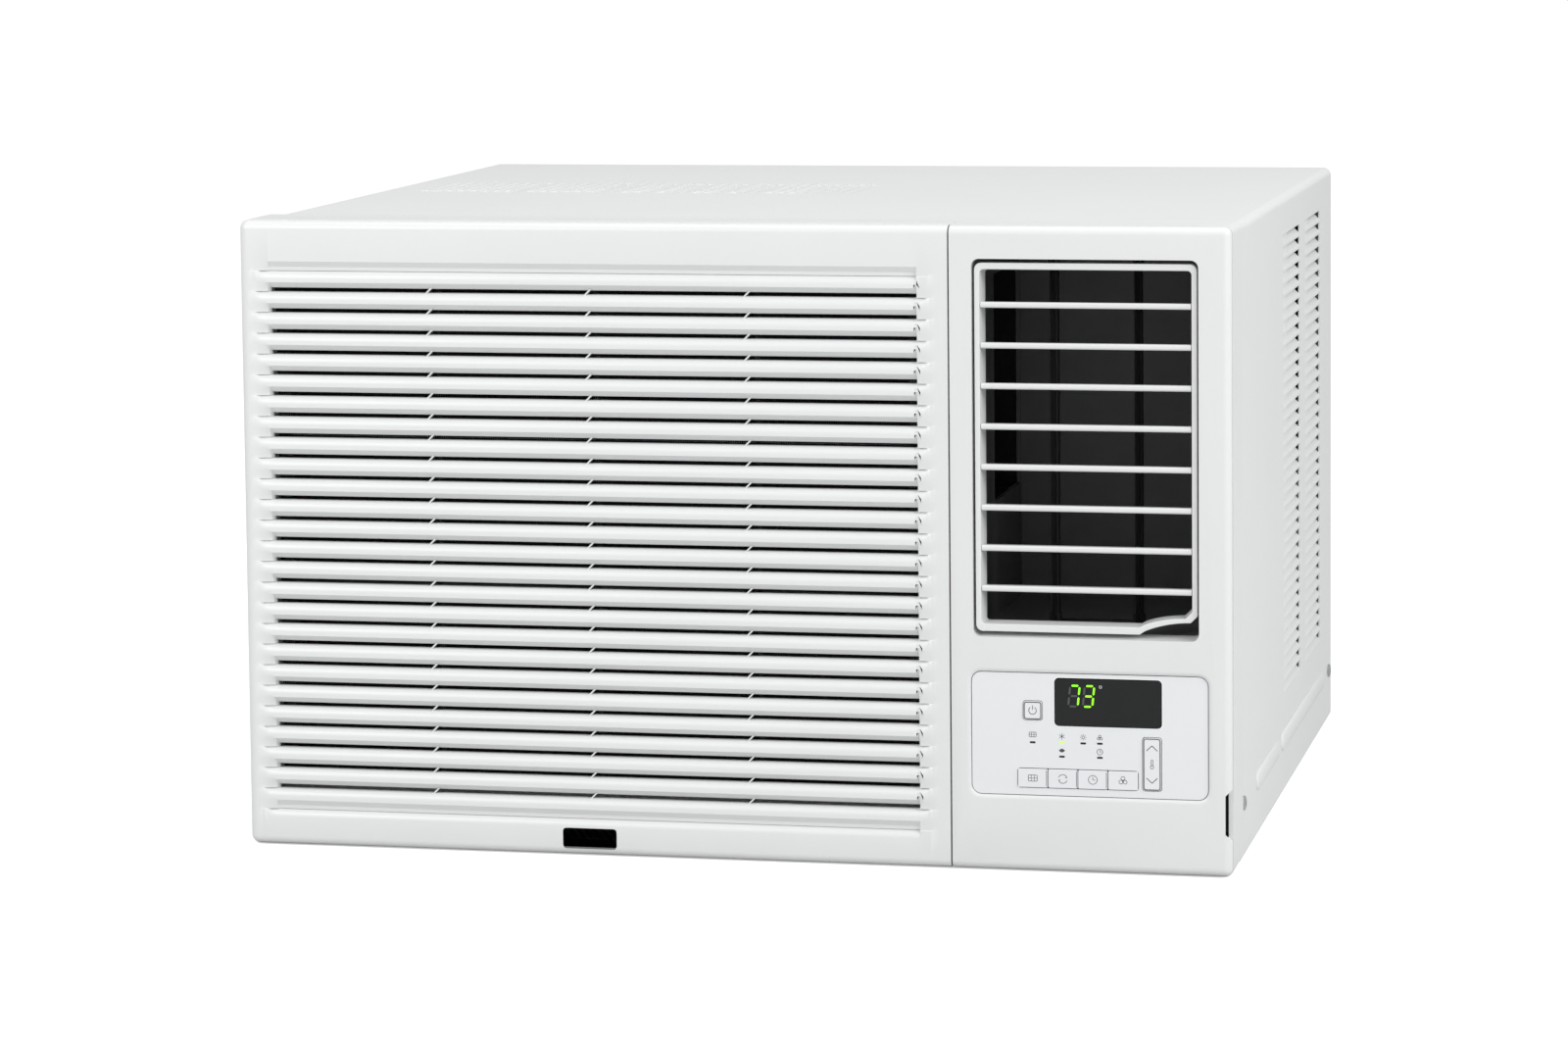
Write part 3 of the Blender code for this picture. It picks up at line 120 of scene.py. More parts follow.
def colour(label, words, hex_colour):
    """A colour property from an sRGB hex value."""
    return FloatVectorProperty(name=label, description=words, default=linear(hex_colour),
                               subtype="COLOR", size=3, min=0, max=1)


class FrontSizes(bpy.types.PropertyGroup):
    """Sizes of the moulded front and its intake grille."""

    edge_round: length("Edge rounding", "Radius of the front's outer edges", 4.6 * MM)
    corner_round: length("Corner rounding", "Radius of the front's four corners", 4.8 * MM)
    rim_step: length("Rim step", "How far the wall behind the rounded rim stands proud of it", 0.6 * MM)
    slot_pitch: length("Slat pitch", "Distance from one intake slot to the next", 12.6 * MM)
    first_slot: length("First slot", "Height of the top open slot's middle", 338.1 * MM)
    slot_rows: IntProperty(name="Open slots", description="Number of open intake slots", default=25)
    slot_left: length("Slot left end", "Where the open slots start", -281.0 * MM)
    slot_right: length("Slot right end", "Where the open slots stop", 114.5 * MM)
    fade: length("Groove run-out", "How far each groove takes to fade into the panel", 11.5 * MM)
    gap: length("Slot height", "Clear height of a slot", 2.5 * MM)
    chamfer: length("Slat chamfer", "Height of the chamfer above each slot", 3.4 * MM)
    chamfer_depth: length("Chamfer depth", "How far the chamfer leans in", 4.2 * MM)
    slat_depth: length("Slat depth", "Depth of the slats from the face", 7.0 * MM)


class CaseSizes(bpy.types.PropertyGroup):
    """Sizes of the sheet case and its pressed vents."""

    sheet: length("Sheet", "Thickness of the steel sheet", 1.0 * MM)
    fold_round: length("Fold radius", "Outside radius of the two top folds", 5.0 * MM)
    vent_rows: IntProperty(name="Vents", description="Vents in each bank", default=37)
    vent_pitch: length("Vent pitch", "Distance from one vent to the next", 7.93 * MM)
    vent_height: length("Vent height", "Height of one pressed vent", 6.3 * MM)
    vent_depth: length("Vent depth", "How far a vent's free edge is pressed in", 6.4 * MM)
    top_vent_depth: length("Top vent depth", "How far a top vent's free edge is pressed in", 1.0 * MM)
    first_vent: length("First vent", "Height of the top side vent's upper edge", 354.0 * MM)


class FinishColours(bpy.types.PropertyGroup):
    """Colours of the finishes."""

    moulded_white: colour("Moulded white", "White ABS of the front", "#E0E1E1")
    coated_white: colour("Coated white", "Powder-coated sheet of the case", "#DFE0E0")
    panel_white: colour("Panel white", "Overlay of the control panel", "#E4E6E8")
    print_grey: colour("Print grey", "Printed outlines and symbols", "#4A4C50")
    lens_black: colour("Lens black", "Smoked display lens", "#1C1D1E")
    digit_green: colour("Digit green", "Lit display segments", "#7FE61E")
    duct_grey: colour("Duct grey", "Lining of the discharge duct", "#7C7C7E")


# ---------------------------------------------------------------- materials
def add_node(tree, kind, values=None, links=None):
    """Add a node, set its sockets or settings by name and link its inputs."""
    node = tree.nodes.new(kind)
    for name, value in (values or {}).items():
        if isinstance(name, int) or name in node.inputs:
            node.inputs[name].default_value = value
        else:
            setattr(node, name, value)
    for name, source in (links or {}).items():
        tree.links.new(source, node.inputs[name])
    return node


def new_finish(name, rgb, roughness, metallic=0.0, **sockets):
    """A Principled material with its plain values set on the shader's own sockets."""
    material = bpy.data.materials.new(name)
    material.use_nodes = True
    tree = material.node_tree
    shader = tree.nodes["Principled BSDF"]
    shader.inputs["Base Color"].default_value = (*rgb, 1)
    shader.inputs["Roughness"].default_value = roughness
    shader.inputs["Metallic"].default_value = metallic
    for socket, value in sockets.items():
        shader.inputs[socket.replace("_", " ")].default_value = value
    place = add_node(tree, "ShaderNodeTexCoord").outputs["Object"]
    return material, tree, shader, place


def mottle(tree, shader, place, dark, light, size, detail=3.0):
    """Vary the base colour between two tones in patches of a real size."""
    noise = add_node(tree, "ShaderNodeTexNoise", {"Scale": 1 / size, "Detail": detail}, {"Vector": place})
    mix = add_node(tree, "ShaderNodeMix", {"data_type": "RGBA", 6: (*dark, 1), 7: (*light, 1)},
                   {0: noise.outputs["Fac"]})
    tree.links.new(mix.outputs[2], shader.inputs["Base Color"])
    return noise


def grain(tree, shader, place, size, depth, detail=2.0):
    """Fine surface relief from noise, with its grain size and depth in metres."""
    noise = add_node(tree, "ShaderNodeTexNoise", {"Scale": 1 / size, "Detail": detail}, {"Vector": place})
    bump = add_node(tree, "ShaderNodeBump", {"Strength": 1.0, "Distance": depth},
                    {"Height": noise.outputs["Fac"]})
    tree.links.new(bump.outputs["Normal"], shader.inputs["Normal"])


def rough_patches(tree, shader, place, low, high, size):
    """Vary the roughness gently in patches."""
    noise = add_node(tree, "ShaderNodeTexNoise", {"Scale": 1 / size, "Detail": 2.0}, {"Vector": place})
    spread = add_node(tree, "ShaderNodeMapRange", {"To Min": low, "To Max": high},
                      {"Value": noise.outputs["Fac"]})
    tree.links.new(spread.outputs["Result"], shader.inputs["Roughness"])


def shade(rgb, factor):
    """A colour made darker or lighter."""
    return tuple(min(1, value * factor) for value in rgb)


def moulded_abs(name, rgb, roughness, texture=0.35 * MM, relief=0.006 * MM):
    """Injection-moulded ABS: even colour, a faint spark-eroded grain and a soft sheen."""
    material, tree, shader, place = new_finish(name, rgb, roughness, IOR=1.53)
    mottle(tree, shader, place, shade(rgb, 0.975), shade(rgb, 1.01), 60 * MM)
    rough_patches(tree, shader, place, roughness - 0.04, roughness + 0.05, 25 * MM)
    grain(tree, shader, place, texture, relief)
    return material


def powder_coat(name, rgb, roughness):
    """Powder-coated steel: a slight orange peel about two millimetres across."""
    material, tree, shader, place = new_finish(name, rgb, roughness, IOR=1.5)
    mottle(tree, shader, place, shade(rgb, 0.98), shade(rgb, 1.01), 90 * MM)
    rough_patches(tree, shader, place, roughness - 0.03, roughness + 0.05, 40 * MM)
    grain(tree, shader, place, 1.8 * MM, 0.02 * MM)
    return material


def galvanised(name, rgb):
    """Hot-dip galvanised sheet: zinc spangle, crystals about nine millimetres across."""
    material, tree, shader, place = new_finish(name, rgb, 0.42, 0.9)
    cells = add_node(tree, "ShaderNodeTexVoronoi", {"Scale": 1 / (9 * MM)}, {"Vector": place})
    tone = add_node(tree, "ShaderNodeMapRange", {"To Min": 0.0, "To Max": 1.0},
                    {"Value": cells.outputs["Color"]})
    mix = add_node(tree, "ShaderNodeMix", {"data_type": "RGBA", 6: (*shade(rgb, 0.8), 1),
                   7: (*shade(rgb, 1.12), 1)}, {0: tone.outputs["Result"]})
    tree.links.new(mix.outputs[2], shader.inputs["Base Color"])
    rough_patches(tree, shader, place, 0.34, 0.52, 7 * MM)
    return material


def brushed_metal(name, rgb, roughness, size=2 * MM):
    """Plated or drawn metal with faint tonal patches."""
    material, tree, shader, place = new_finish(name, rgb, roughness, 1.0)
    mottle(tree, shader, place, shade(rgb, 0.82), shade(rgb, 1.08), size)
    rough_patches(tree, shader, place, roughness - 0.06, roughness + 0.1, size)
    return material


def dull_moulding(name, rgb, roughness, patch=30 * MM):
    """Rubber, dark ABS or foam: matt, with a fine grain."""
    material, tree, shader, place = new_finish(name, rgb, roughness, IOR=1.5)
    mottle(tree, shader, place, shade(rgb, 0.85), shade(rgb, 1.12), patch)
    grain(tree, shader, place, 0.8 * MM, 0.02 * MM)
    return material


def bead_foam(name, rgb):
    """Expanded polystyrene: packed beads about four millimetres across."""
    material, tree, shader, place = new_finish(name, rgb, 0.85, IOR=1.45)
    cells = add_node(tree, "ShaderNodeTexVoronoi", {"Scale": 1 / (4 * MM)}, {"Vector": place})
    mix = add_node(tree, "ShaderNodeMix", {"data_type": "RGBA", 6: (*rgb, 1), 7: (*shade(rgb, 0.86), 1)},
                   {0: cells.outputs["Distance"]})
    tree.links.new(mix.outputs[2], shader.inputs["Base Color"])
    bump = add_node(tree, "ShaderNodeBump", {"Strength": 0.6, "Distance": 0.3 * MM, "invert": True},
                    {"Height": cells.outputs["Distance"]})
    tree.links.new(bump.outputs["Normal"], shader.inputs["Normal"])
    return material


def smoked_lens(name, rgb):
    """Smoked acrylic: near black with a polished face."""
    material, tree, shader, place = new_finish(name, rgb, 0.18, IOR=1.49, Specular_IOR_Level=0.3)
    mottle(tree, shader, place, shade(rgb, 0.9), shade(rgb, 1.15), 15 * MM)
    return material


def lit_segment(name, rgb, strength):
    """Light-emitting segment."""
    material, tree, shader, place = new_finish(name, rgb, 0.4, Emission_Strength=strength)
    shader.inputs["Emission Color"].default_value = (*rgb, 1)
    mottle(tree, shader, place, shade(rgb, 0.92), rgb, 3 * MM)
    return material


def solder_mask(name, rgb):
    """Green laminate with faint copper tracks under the mask."""
    material, tree, shader, place = new_finish(name, rgb, 0.35, IOR=1.5)
    tracks = add_node(tree, "ShaderNodeTexBrick", {"Color1": (*rgb, 1), "Color2": (*shade(rgb, 0.8), 1),
                      "Mortar": (*shade(rgb, 1.7), 1), "Scale": 1 / (12 * MM), "Mortar Size": 0.03},
                      {"Vector": place})
    tree.links.new(tracks.outputs["Color"], shader.inputs["Base Color"])
    return material


_finishes = {}


def finish(name):
    """Each finish, made once and named for what it is."""
    if name in _finishes:
        return _finishes[name]
    paint = bpy.context.scene.window_unit_colours
    makers = {
        "moulded_abs": lambda: moulded_abs("White moulded ABS", paint.moulded_white, 0.34),
        "panel_overlay": lambda: moulded_abs("Satin panel overlay", paint.panel_white, 0.3, 0.25 * MM,
                                             0.003 * MM),
        "key_cap": lambda: moulded_abs("Satin key cap", paint.panel_white, 0.42, 0.3 * MM, 0.005 * MM),
        "coated_steel": lambda: powder_coat("White powder-coated steel", paint.coated_white, 0.4),
        "galvanised": lambda: galvanised("Galvanised steel", linear("#B4B8BA")),
        "black_abs": lambda: dull_moulding("Black moulded ABS", linear("#1B1B1C"), 0.5),
        "duct_liner": lambda: dull_moulding("Dark duct lining", paint.duct_grey, 0.75),
        "filter_rib": lambda: moulded_abs("Pale polypropylene", linear("#C9CDCF"), 0.5),
        "filter_thread": lambda: dull_moulding("Black nylon thread", linear("#131415"), 0.7, 4 * MM),
        "fin": lambda: brushed_metal("Bare fin aluminium", linear("#A9ADB0"), 0.38, 6 * MM),
        "copper": lambda: brushed_metal("Drawn copper", linear("#B87348"), 0.32, 12 * MM),
        "zinc_plate": lambda: brushed_metal("Zinc-plated steel", linear("#C4C7C9"), 0.28),
        "enamel": lambda: dull_moulding("Black enamel", linear("#151516"), 0.32),
        "rubber": lambda: dull_moulding("Moulded rubber", linear("#1A1A1A"), 0.85),
        "foam": lambda: bead_foam("Black expanded polystyrene", linear("#232324")),
        "lens": lambda: smoked_lens("Smoked acrylic", paint.lens_black),
        # Painted highlight: the ring round the display is moulded white painted brighter than the panel, standing
        # in for light on the lens edge.
        "lens_edge_highlight": lambda: moulded_abs("Lens edge with painted highlight", linear("#F4F5F5"), 0.25),
        "lit": lambda: lit_segment("Lit display segment", paint.digit_green, 1.1),
        "unlit": lambda: dull_moulding("Unlit display segment", linear("#4A4C4D"), 0.5),
        "lamp_on": lambda: lit_segment("Lit indicator", linear("#B9E36A"), 0.5),
        "print": lambda: dull_moulding("Printed grey", paint.print_grey, 0.5),
        "print_dark": lambda: dull_moulding("Unlit indicator", linear("#1C1C1D"), 0.4),
        "laminate": lambda: solder_mask("Solder-masked laminate", linear("#1D6B3A")),
        "badge": lambda: moulded_abs("Grey badge moulding", linear("#6A6C6F"), 0.3),
        "mica": lambda: dull_moulding("Mica board", linear("#A08C66"), 0.6, 8 * MM),
    }
    _finishes[name] = makers[name]()
    return _finishes[name]


# ---------------------------------------------------------------- mesh helpers
def add_box(bm, low, high):
    """Add a box between two corners and return its vertices."""
    low, high = Vector(low), Vector(high)
    verts = bmesh.ops.create_cube(bm, size=1)["verts"]
    bmesh.ops.scale(bm, vec=high - low, verts=verts)
    bmesh.ops.translate(bm, vec=(low + high) / 2, verts=verts)
    return verts


def add_rod(bm, start, end, radius, sides=24):
    """Add a closed cylinder between two points."""
    start, end = Vector(start), Vector(end)
    turn = (end - start).to_track_quat("Z", "Y").to_matrix().to_4x4()
    return bmesh.ops.create_cone(bm, cap_ends=True, segments=sides, radius1=radius, radius2=radius,
                                 depth=(end - start).length,
                                 matrix=Matrix.Translation((start + end) / 2) @ turn)["verts"]


def add_soft_box(bm, low, high, round_off, segments=2):
    """Add a box with all its edges rounded."""
    verts = add_box(bm, low, high)
    edges = list({edge for vert in verts for edge in vert.link_edges})
    bmesh.ops.bevel(bm, geom=edges, offset=round_off, segments=segments, profile=0.5,
                    affect="EDGES", material=-1)


def rounded_outline(low, high, radii, steps=5):
    """Corner-rounded rectangle from its low corner; radii for LL, LR, UR and UL."""
    corners = ((low[0], low[1], 1, 1, 180), (high[0], low[1], -1, 1, 270),
               (high[0], high[1], -1, -1, 0), (low[0], high[1], 1, -1, 90))
    points = []
    for (x, z, way_x, way_z, first), radius in zip(corners, radii):
        for step in range(steps + 1):
            angle = math.radians(first + 90 * step / steps)
            points.append((x + way_x * radius + radius * math.cos(angle),
                           z + way_z * radius + radius * math.sin(angle)))
    return points


def add_face(bm, outline, y):
    """Add one face in the X-Z plane."""
    return bm.faces.new([bm.verts.new((x, y, z)) for x, z in outline])


def extrude_faces(bm, faces, vector):
    """Extrude faces and move the new ones; returns the moved vertices."""
    made = bmesh.ops.extrude_face_region(bm, geom=faces, use_keep_orig=True)["geom"]
    verts = [item for item in made if isinstance(item, bmesh.types.BMVert)]
    bmesh.ops.translate(bm, vec=vector, verts=verts)
    return verts


def add_prism(bm, outline, start, end):
    """Extrude an X-Z outline along Y."""
    face = add_face(bm, outline, start)
    ring = list(face.verts)
    return ring + extrude_faces(bm, [face], (0, end - start, 0))


def add_plate(bm, low, high, radius, start, end):
    """A flat plate between two X-Z corners, with its four corners rounded."""
    add_prism(bm, rounded_outline(low, high, (radius,) * 4), start, end)


def ring_edges(bm, points):
    """Join points to a closed ring and return its edges."""
    ring = [bm.verts.new(point) for point in points]
    return [bm.edges.new(pair) for pair in zip(ring, ring[1:] + ring[:1])]


def loft(bm, rings):
    """Bridge outlines at their Y places into a solid, capped at both ends."""
    made = [[bm.verts.new((x, y, z)) for x, z in outline] for outline, y in rings]
    for ring in made:
        for pair in zip(ring, ring[1:] + ring[:1]):
            bm.edges.new(pair)
    for ring, after in zip(made, made[1:]):
        loops = [bm.edges.get(pair) for line in (ring, after) for pair in zip(line, line[1:] + line[:1])]
        bmesh.ops.bridge_loops(bm, edges=loops)
    bm.faces.new(made[0])
    bm.faces.new(made[-1])


def add_hoop(bm, outer, inner, start, end, outer_end=None, inner_end=None):
    """A closed band between two outlines along Y, whose back may follow its own two outlines."""
    edges = [edge for outline in (outer, inner) for edge in ring_edges(bm, [(x, start, z) for x, z in outline])]
    faces = bmesh.ops.bridge_loops(bm, edges=edges)["faces"]
    moved = extrude_faces(bm, faces, (0, end - start, 0))
    pairs = list(zip(outer, outer_end or outer)) + list(zip(inner, inner_end or inner))
    for vert in moved:
        goal = min(pairs, key=lambda pair: (pair[0][0] - vert.co.x) ** 2 + (pair[0][1] - vert.co.z) ** 2)[1]
        vert.co.x, vert.co.z = goal


def slice_at(bm, axis, places):
    """Cut every face where a plane across an axis crosses it."""
    normal = Vector([1 if i == axis else 0 for i in range(3)])
    for place in places:
        bmesh.ops.bisect_plane(bm, geom=bm.verts[:] + bm.edges[:] + bm.faces[:],
                               plane_co=normal * place, plane_no=normal, dist=1e-7)


def as_piece(name, bm, material, body, nodes=(), angle=35, recalculate=True):
    """Make a smooth-shaded piece at the origin that rides on a body and may replace nodes."""
    if recalculate:
        bmesh.ops.recalc_face_normals(bm, faces=bm.faces[:])
    mesh = bpy.data.meshes.new(name)
    bm.to_mesh(mesh)
    bm.free()
    mesh.shade_smooth()
    mesh.set_sharp_from_angle(angle=math.radians(angle))
    mesh.materials.append(finish(material))
    piece = bpy.data.objects.new(name, mesh)
    bpy.context.scene.collection.objects.link(piece)
    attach(piece, body)
    if nodes:
        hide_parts(*nodes)
    return piece


def carve(bm, tools, joined=()):
    """Join meshes to one, cut tool meshes out of it with exact Booleans and return the result."""
    def stand_in(shape):
        bmesh.ops.recalc_face_normals(shape, faces=shape.faces[:])
        mesh = bpy.data.meshes.new("carving")
        shape.to_mesh(mesh)
        shape.free()
        made = bpy.data.objects.new("carving", mesh)
        bpy.context.scene.collection.objects.link(made)
        return made

    target = stand_in(bm)
    added = [stand_in(part) for part in joined]
    cutters = [stand_in(tool) for tool in tools]
    for other in (*added, *cutters):
        modifier = target.modifiers.new("cut", "BOOLEAN")
        modifier.operation = "UNION" if other in added else "DIFFERENCE"
        modifier.solver = "EXACT"
        modifier.object = other
    graph = bpy.context.evaluated_depsgraph_get()
    result = bmesh.new()
    result.from_object(target, graph)
    for made in (target, *added, *cutters):
        mesh = made.data
        bpy.data.objects.remove(made)
        bpy.data.meshes.remove(mesh)
    bmesh.ops.remove_doubles(result, verts=result.verts[:], dist=1e-6)
    return result


def soften(piece, width, segments=2, angle=35):
    """Round a piece's sharp edges with a Bevel modifier and keep its flats flat."""
    bevel = piece.modifiers.new("Rounded edges", "BEVEL")
    bevel.width = width
    bevel.segments = segments
    bevel.limit_method = "ANGLE"
    bevel.angle_limit = math.radians(angle)
    bevel.harden_normals = True
    bevel.use_clamp_overlap = True
    return piece


def dress(names, material):
    """Give carried-over frame nodes a finish."""
    for name in names:
        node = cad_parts[name]
        for slot in node.material_slots:
            slot.material = finish(material)


class UnitOperator:
    """What the piece operators share."""

    bl_options = {"REGISTER", "UNDO"}

    @property
    def front(self):
        return bpy.context.scene.window_unit_front

    @property
    def case(self):
        return bpy.context.scene.window_unit_case


# ---------------------------------------------------------------- stage
class WINDOWUNIT_OT_stage(UnitOperator, bpy.types.Operator):
    """Add the pale floor, soft studio light and the camera."""

    bl_idname = "window_unit.stage"
    bl_label = "Stage"

    def execute(self, context):
        self.add_floor()
        self.add_lights(context)
        self.add_camera(context)
        return {"FINISHED"}

    def add_floor(self):
        bm = bmesh.new()
        bmesh.ops.create_grid(bm, x_segments=1, y_segments=1, size=30)
        mesh = bpy.data.meshes.new("floor")
        bm.to_mesh(mesh)
        bm.free()
        mesh.materials.append(self.floor_finish())
        floor = bpy.data.objects.new("floor", mesh)
        floor.location = (0, 0, -0.0005)
        bpy.context.scene.collection.objects.link(floor)

    def floor_finish(self):
        """Pale matt floor that shows white but throws only part of its light back up at the unit."""
        material, tree, shader, _ = new_finish("Pale studio floor", linear("#FBFBFB"), 0.9,
                                               Specular_IOR_Level=0.0, Emission_Strength=0.45)
        shader.inputs["Emission Color"].default_value = (1, 1, 1, 1)
        path = add_node(tree, "ShaderNodeLightPath")
        matt = add_node(tree, "ShaderNodeBsdfDiffuse", {"Color": (0.60, 0.60, 0.60, 1)})
        both = add_node(tree, "ShaderNodeMixShader", links={0: path.outputs["Is Camera Ray"],
                                                            1: matt.outputs["BSDF"], 2: shader.outputs["BSDF"]})
        tree.links.new(both.outputs["Shader"], tree.nodes["Material Output"].inputs["Surface"])
        return material

    def add_lights(self, context):
        world = bpy.data.worlds.new("Soft studio")
        world.use_nodes = True
        back = world.node_tree.nodes["Background"]
        back.inputs["Color"].default_value = (1, 1, 1, 1)
        back.inputs["Strength"].default_value = 0.60
        context.scene.world = world
        for name, place, size, power in SOFTBOXES:
            light = bpy.data.lights.new(name, "AREA")
            light.shape = "SQUARE"
            light.size = size
            light.energy = power
            lamp = bpy.data.objects.new(name, light)
            lamp.location = place
            lamp.rotation_euler = (AIM - Vector(place)).to_track_quat("-Z", "Y").to_euler()
            context.scene.collection.objects.link(lamp)
        context.scene.view_settings.view_transform = "Standard"

    def add_camera(self, context):
        yaw, pitch, roll = (math.radians(angle) for angle in CAMERA_TURN)
        ahead = Vector((-math.sin(yaw) * math.cos(pitch), math.cos(yaw) * math.cos(pitch),
                        -math.sin(pitch)))
        level = Vector((math.cos(yaw), math.sin(yaw), 0))
        upward = level.cross(ahead)
        right = level * math.cos(roll) + upward * math.sin(roll)
        up = upward * math.cos(roll) - level * math.sin(roll)
        lens = bpy.data.cameras.new("camera")
        lens.sensor_width = 36
        lens.lens = 111.41
        lens.shift_y = -0.1513
        lens.clip_end = 100
        camera = bpy.data.objects.new("camera", lens)
        turn = Matrix((right, up, -ahead)).transposed().to_4x4()
        camera.matrix_world = Matrix.Translation(CAMERA_PLACE) @ turn
        context.scene.collection.objects.link(camera)
        context.scene.camera = camera


# ---------------------------------------------------------------- front
class WINDOWUNIT_OT_bezel(UnitOperator, bpy.types.Operator):
    """Build the moulded front with its outlet mouth and the soft-rimmed control recess."""

    bl_idname = "window_unit.bezel"
    bl_label = "Front bezel"

    def execute(self, context):
        wall = 3.0 * MM
        back = BEZEL_HIGH[1]
        step_y = FRONT + 26 * MM
        step_x = GRILLE_HIGH[0] + 1 * MM
        side = BEZEL_HIGH[0]
        height = BEZEL_HIGH[2]
        corner = self.front.corner_round
        bm = bmesh.new()
        loft(bm, self.rim_rings(step_x, side, height, back))
        rear = bmesh.new()
        add_prism(rear, rounded_outline((-side, 0), (step_x + 6 * MM, height),
                                        (corner, 0.2 * MM, 0.2 * MM, corner)), step_y, back)

        hollow = bmesh.new()
        inner = [(-side + wall, back + wall), (-side + wall, step_y + wall), (step_x + wall, step_y + wall),
                 (step_x + wall, FRONT + wall), (side - wall, FRONT + wall), (side - wall, back + wall)]
        face = hollow.faces.new([hollow.verts.new((x, y, wall)) for x, y in inner])
        extrude_faces(hollow, [face], (0, 0, height - 2 * wall))

        windows = bmesh.new()
        add_box(windows, (INTAKE_LOW[0], step_y - wall, INTAKE_LOW[1]),
                (INTAKE_HIGH[0], step_y + 2 * wall, INTAKE_HIGH[1]))
        add_plate(windows, MOUTH_LOW, MOUTH_HIGH, MOUTH_ROUND, FRONT - wall, FRONT + 2 * wall)
        low, high = face_corners("control_panel", 0.4 * MM)
        add_plate(windows, low, high, PANEL_ROUND, FRONT - wall, FRONT + 2 * wall)
        notch = [(side - NOTCH_DEEP, NOTCH_LOW), (side + 1 * MM, NOTCH_LOW - NOTCH_FLARE),
                 (side + 1 * MM, NOTCH_HIGH + NOTCH_FLARE), (side - NOTCH_DEEP, NOTCH_HIGH)]
        add_prism(windows, notch, FRONT - wall, FRONT + 5.6 * MM)
        add_box(windows, (-side - wall, FILTER_LOW[1] - 1 * MM, FILTER_LOW[2] - 1 * MM),
                (-side + 5 * MM, FILTER_LOW[1] + 8.2 * MM, FILTER_HIGH[2] + 1 * MM))
        carved = carve(bm, [hollow, windows, self.rim_tool(low, high)], [rear])
        bezel = as_piece("moulded_front", carved, "moulded_abs", "chassis", ["front_bezel"], 30)
        soften(bezel, 0.8 * MM, 3)
        self.add_collar()
        return {"FINISHED"}

    def rim_rings(self, left, side, height, back):
        """Outlines from the front face over the rounded rim and its step to the back edge."""
        size = self.front
        step = size.rim_step

        def outline(inset):
            radius = max(size.corner_round - inset, 1.5 * MM)
            return rounded_outline((left, inset), (side - inset, height - inset),
                                   (0.2 * MM, radius, radius, 0.2 * MM))

        rings = []
        for number in range(8):
            angle = math.radians(90 * number / 7)
            rings.append((outline(step + size.edge_round * (1 - math.sin(angle))),
                          FRONT + size.edge_round * (1 - math.cos(angle))))
        return rings + [(outline(step + 1.2 * MM), FRONT + 5.6 * MM), (outline(0), FRONT + 5.8 * MM),
                        (outline(0), back)]

    def add_collar(self):
        """Short sleeve behind the mouth, with a sill that rises under the louvre frame."""
        def outline(out, rise):
            low, high = grown(MOUTH_LOW, MOUTH_HIGH, out)
            return rounded_outline((low[0], low[1] + rise), high, (MOUTH_ROUND,) * 4)

        bm = bmesh.new()
        wall = 1.2 * MM
        start, end = FRONT + 2.9 * MM, FRONT + 14 * MM
        add_hoop(bm, outline(wall, 0), outline(0, 0), start, end, inner_end=outline(0, 1.4 * MM))
        as_piece("mouth_collar", bm, "moulded_abs", "chassis", angle=40)

    def rim_tool(self, low, high):
        """A flared plug whose sides make the recess's soft rim."""
        flare = 3.2 * MM
        depth = 1.3 * MM
        rings = []
        for step in range(6):
            angle = math.radians(90 * step / 5)
            out = flare * (1 - math.sin(angle))
            outline = rounded_outline(*grown(low, high, out), (PANEL_ROUND + out,) * 4)
            rings.append((outline, FRONT - 0.05 * MM + depth * (1 - math.cos(angle))))
        rings.insert(0, (rings[0][0], FRONT - 3 * MM))
        tool = bmesh.new()
        loft(tool, rings)
        return tool


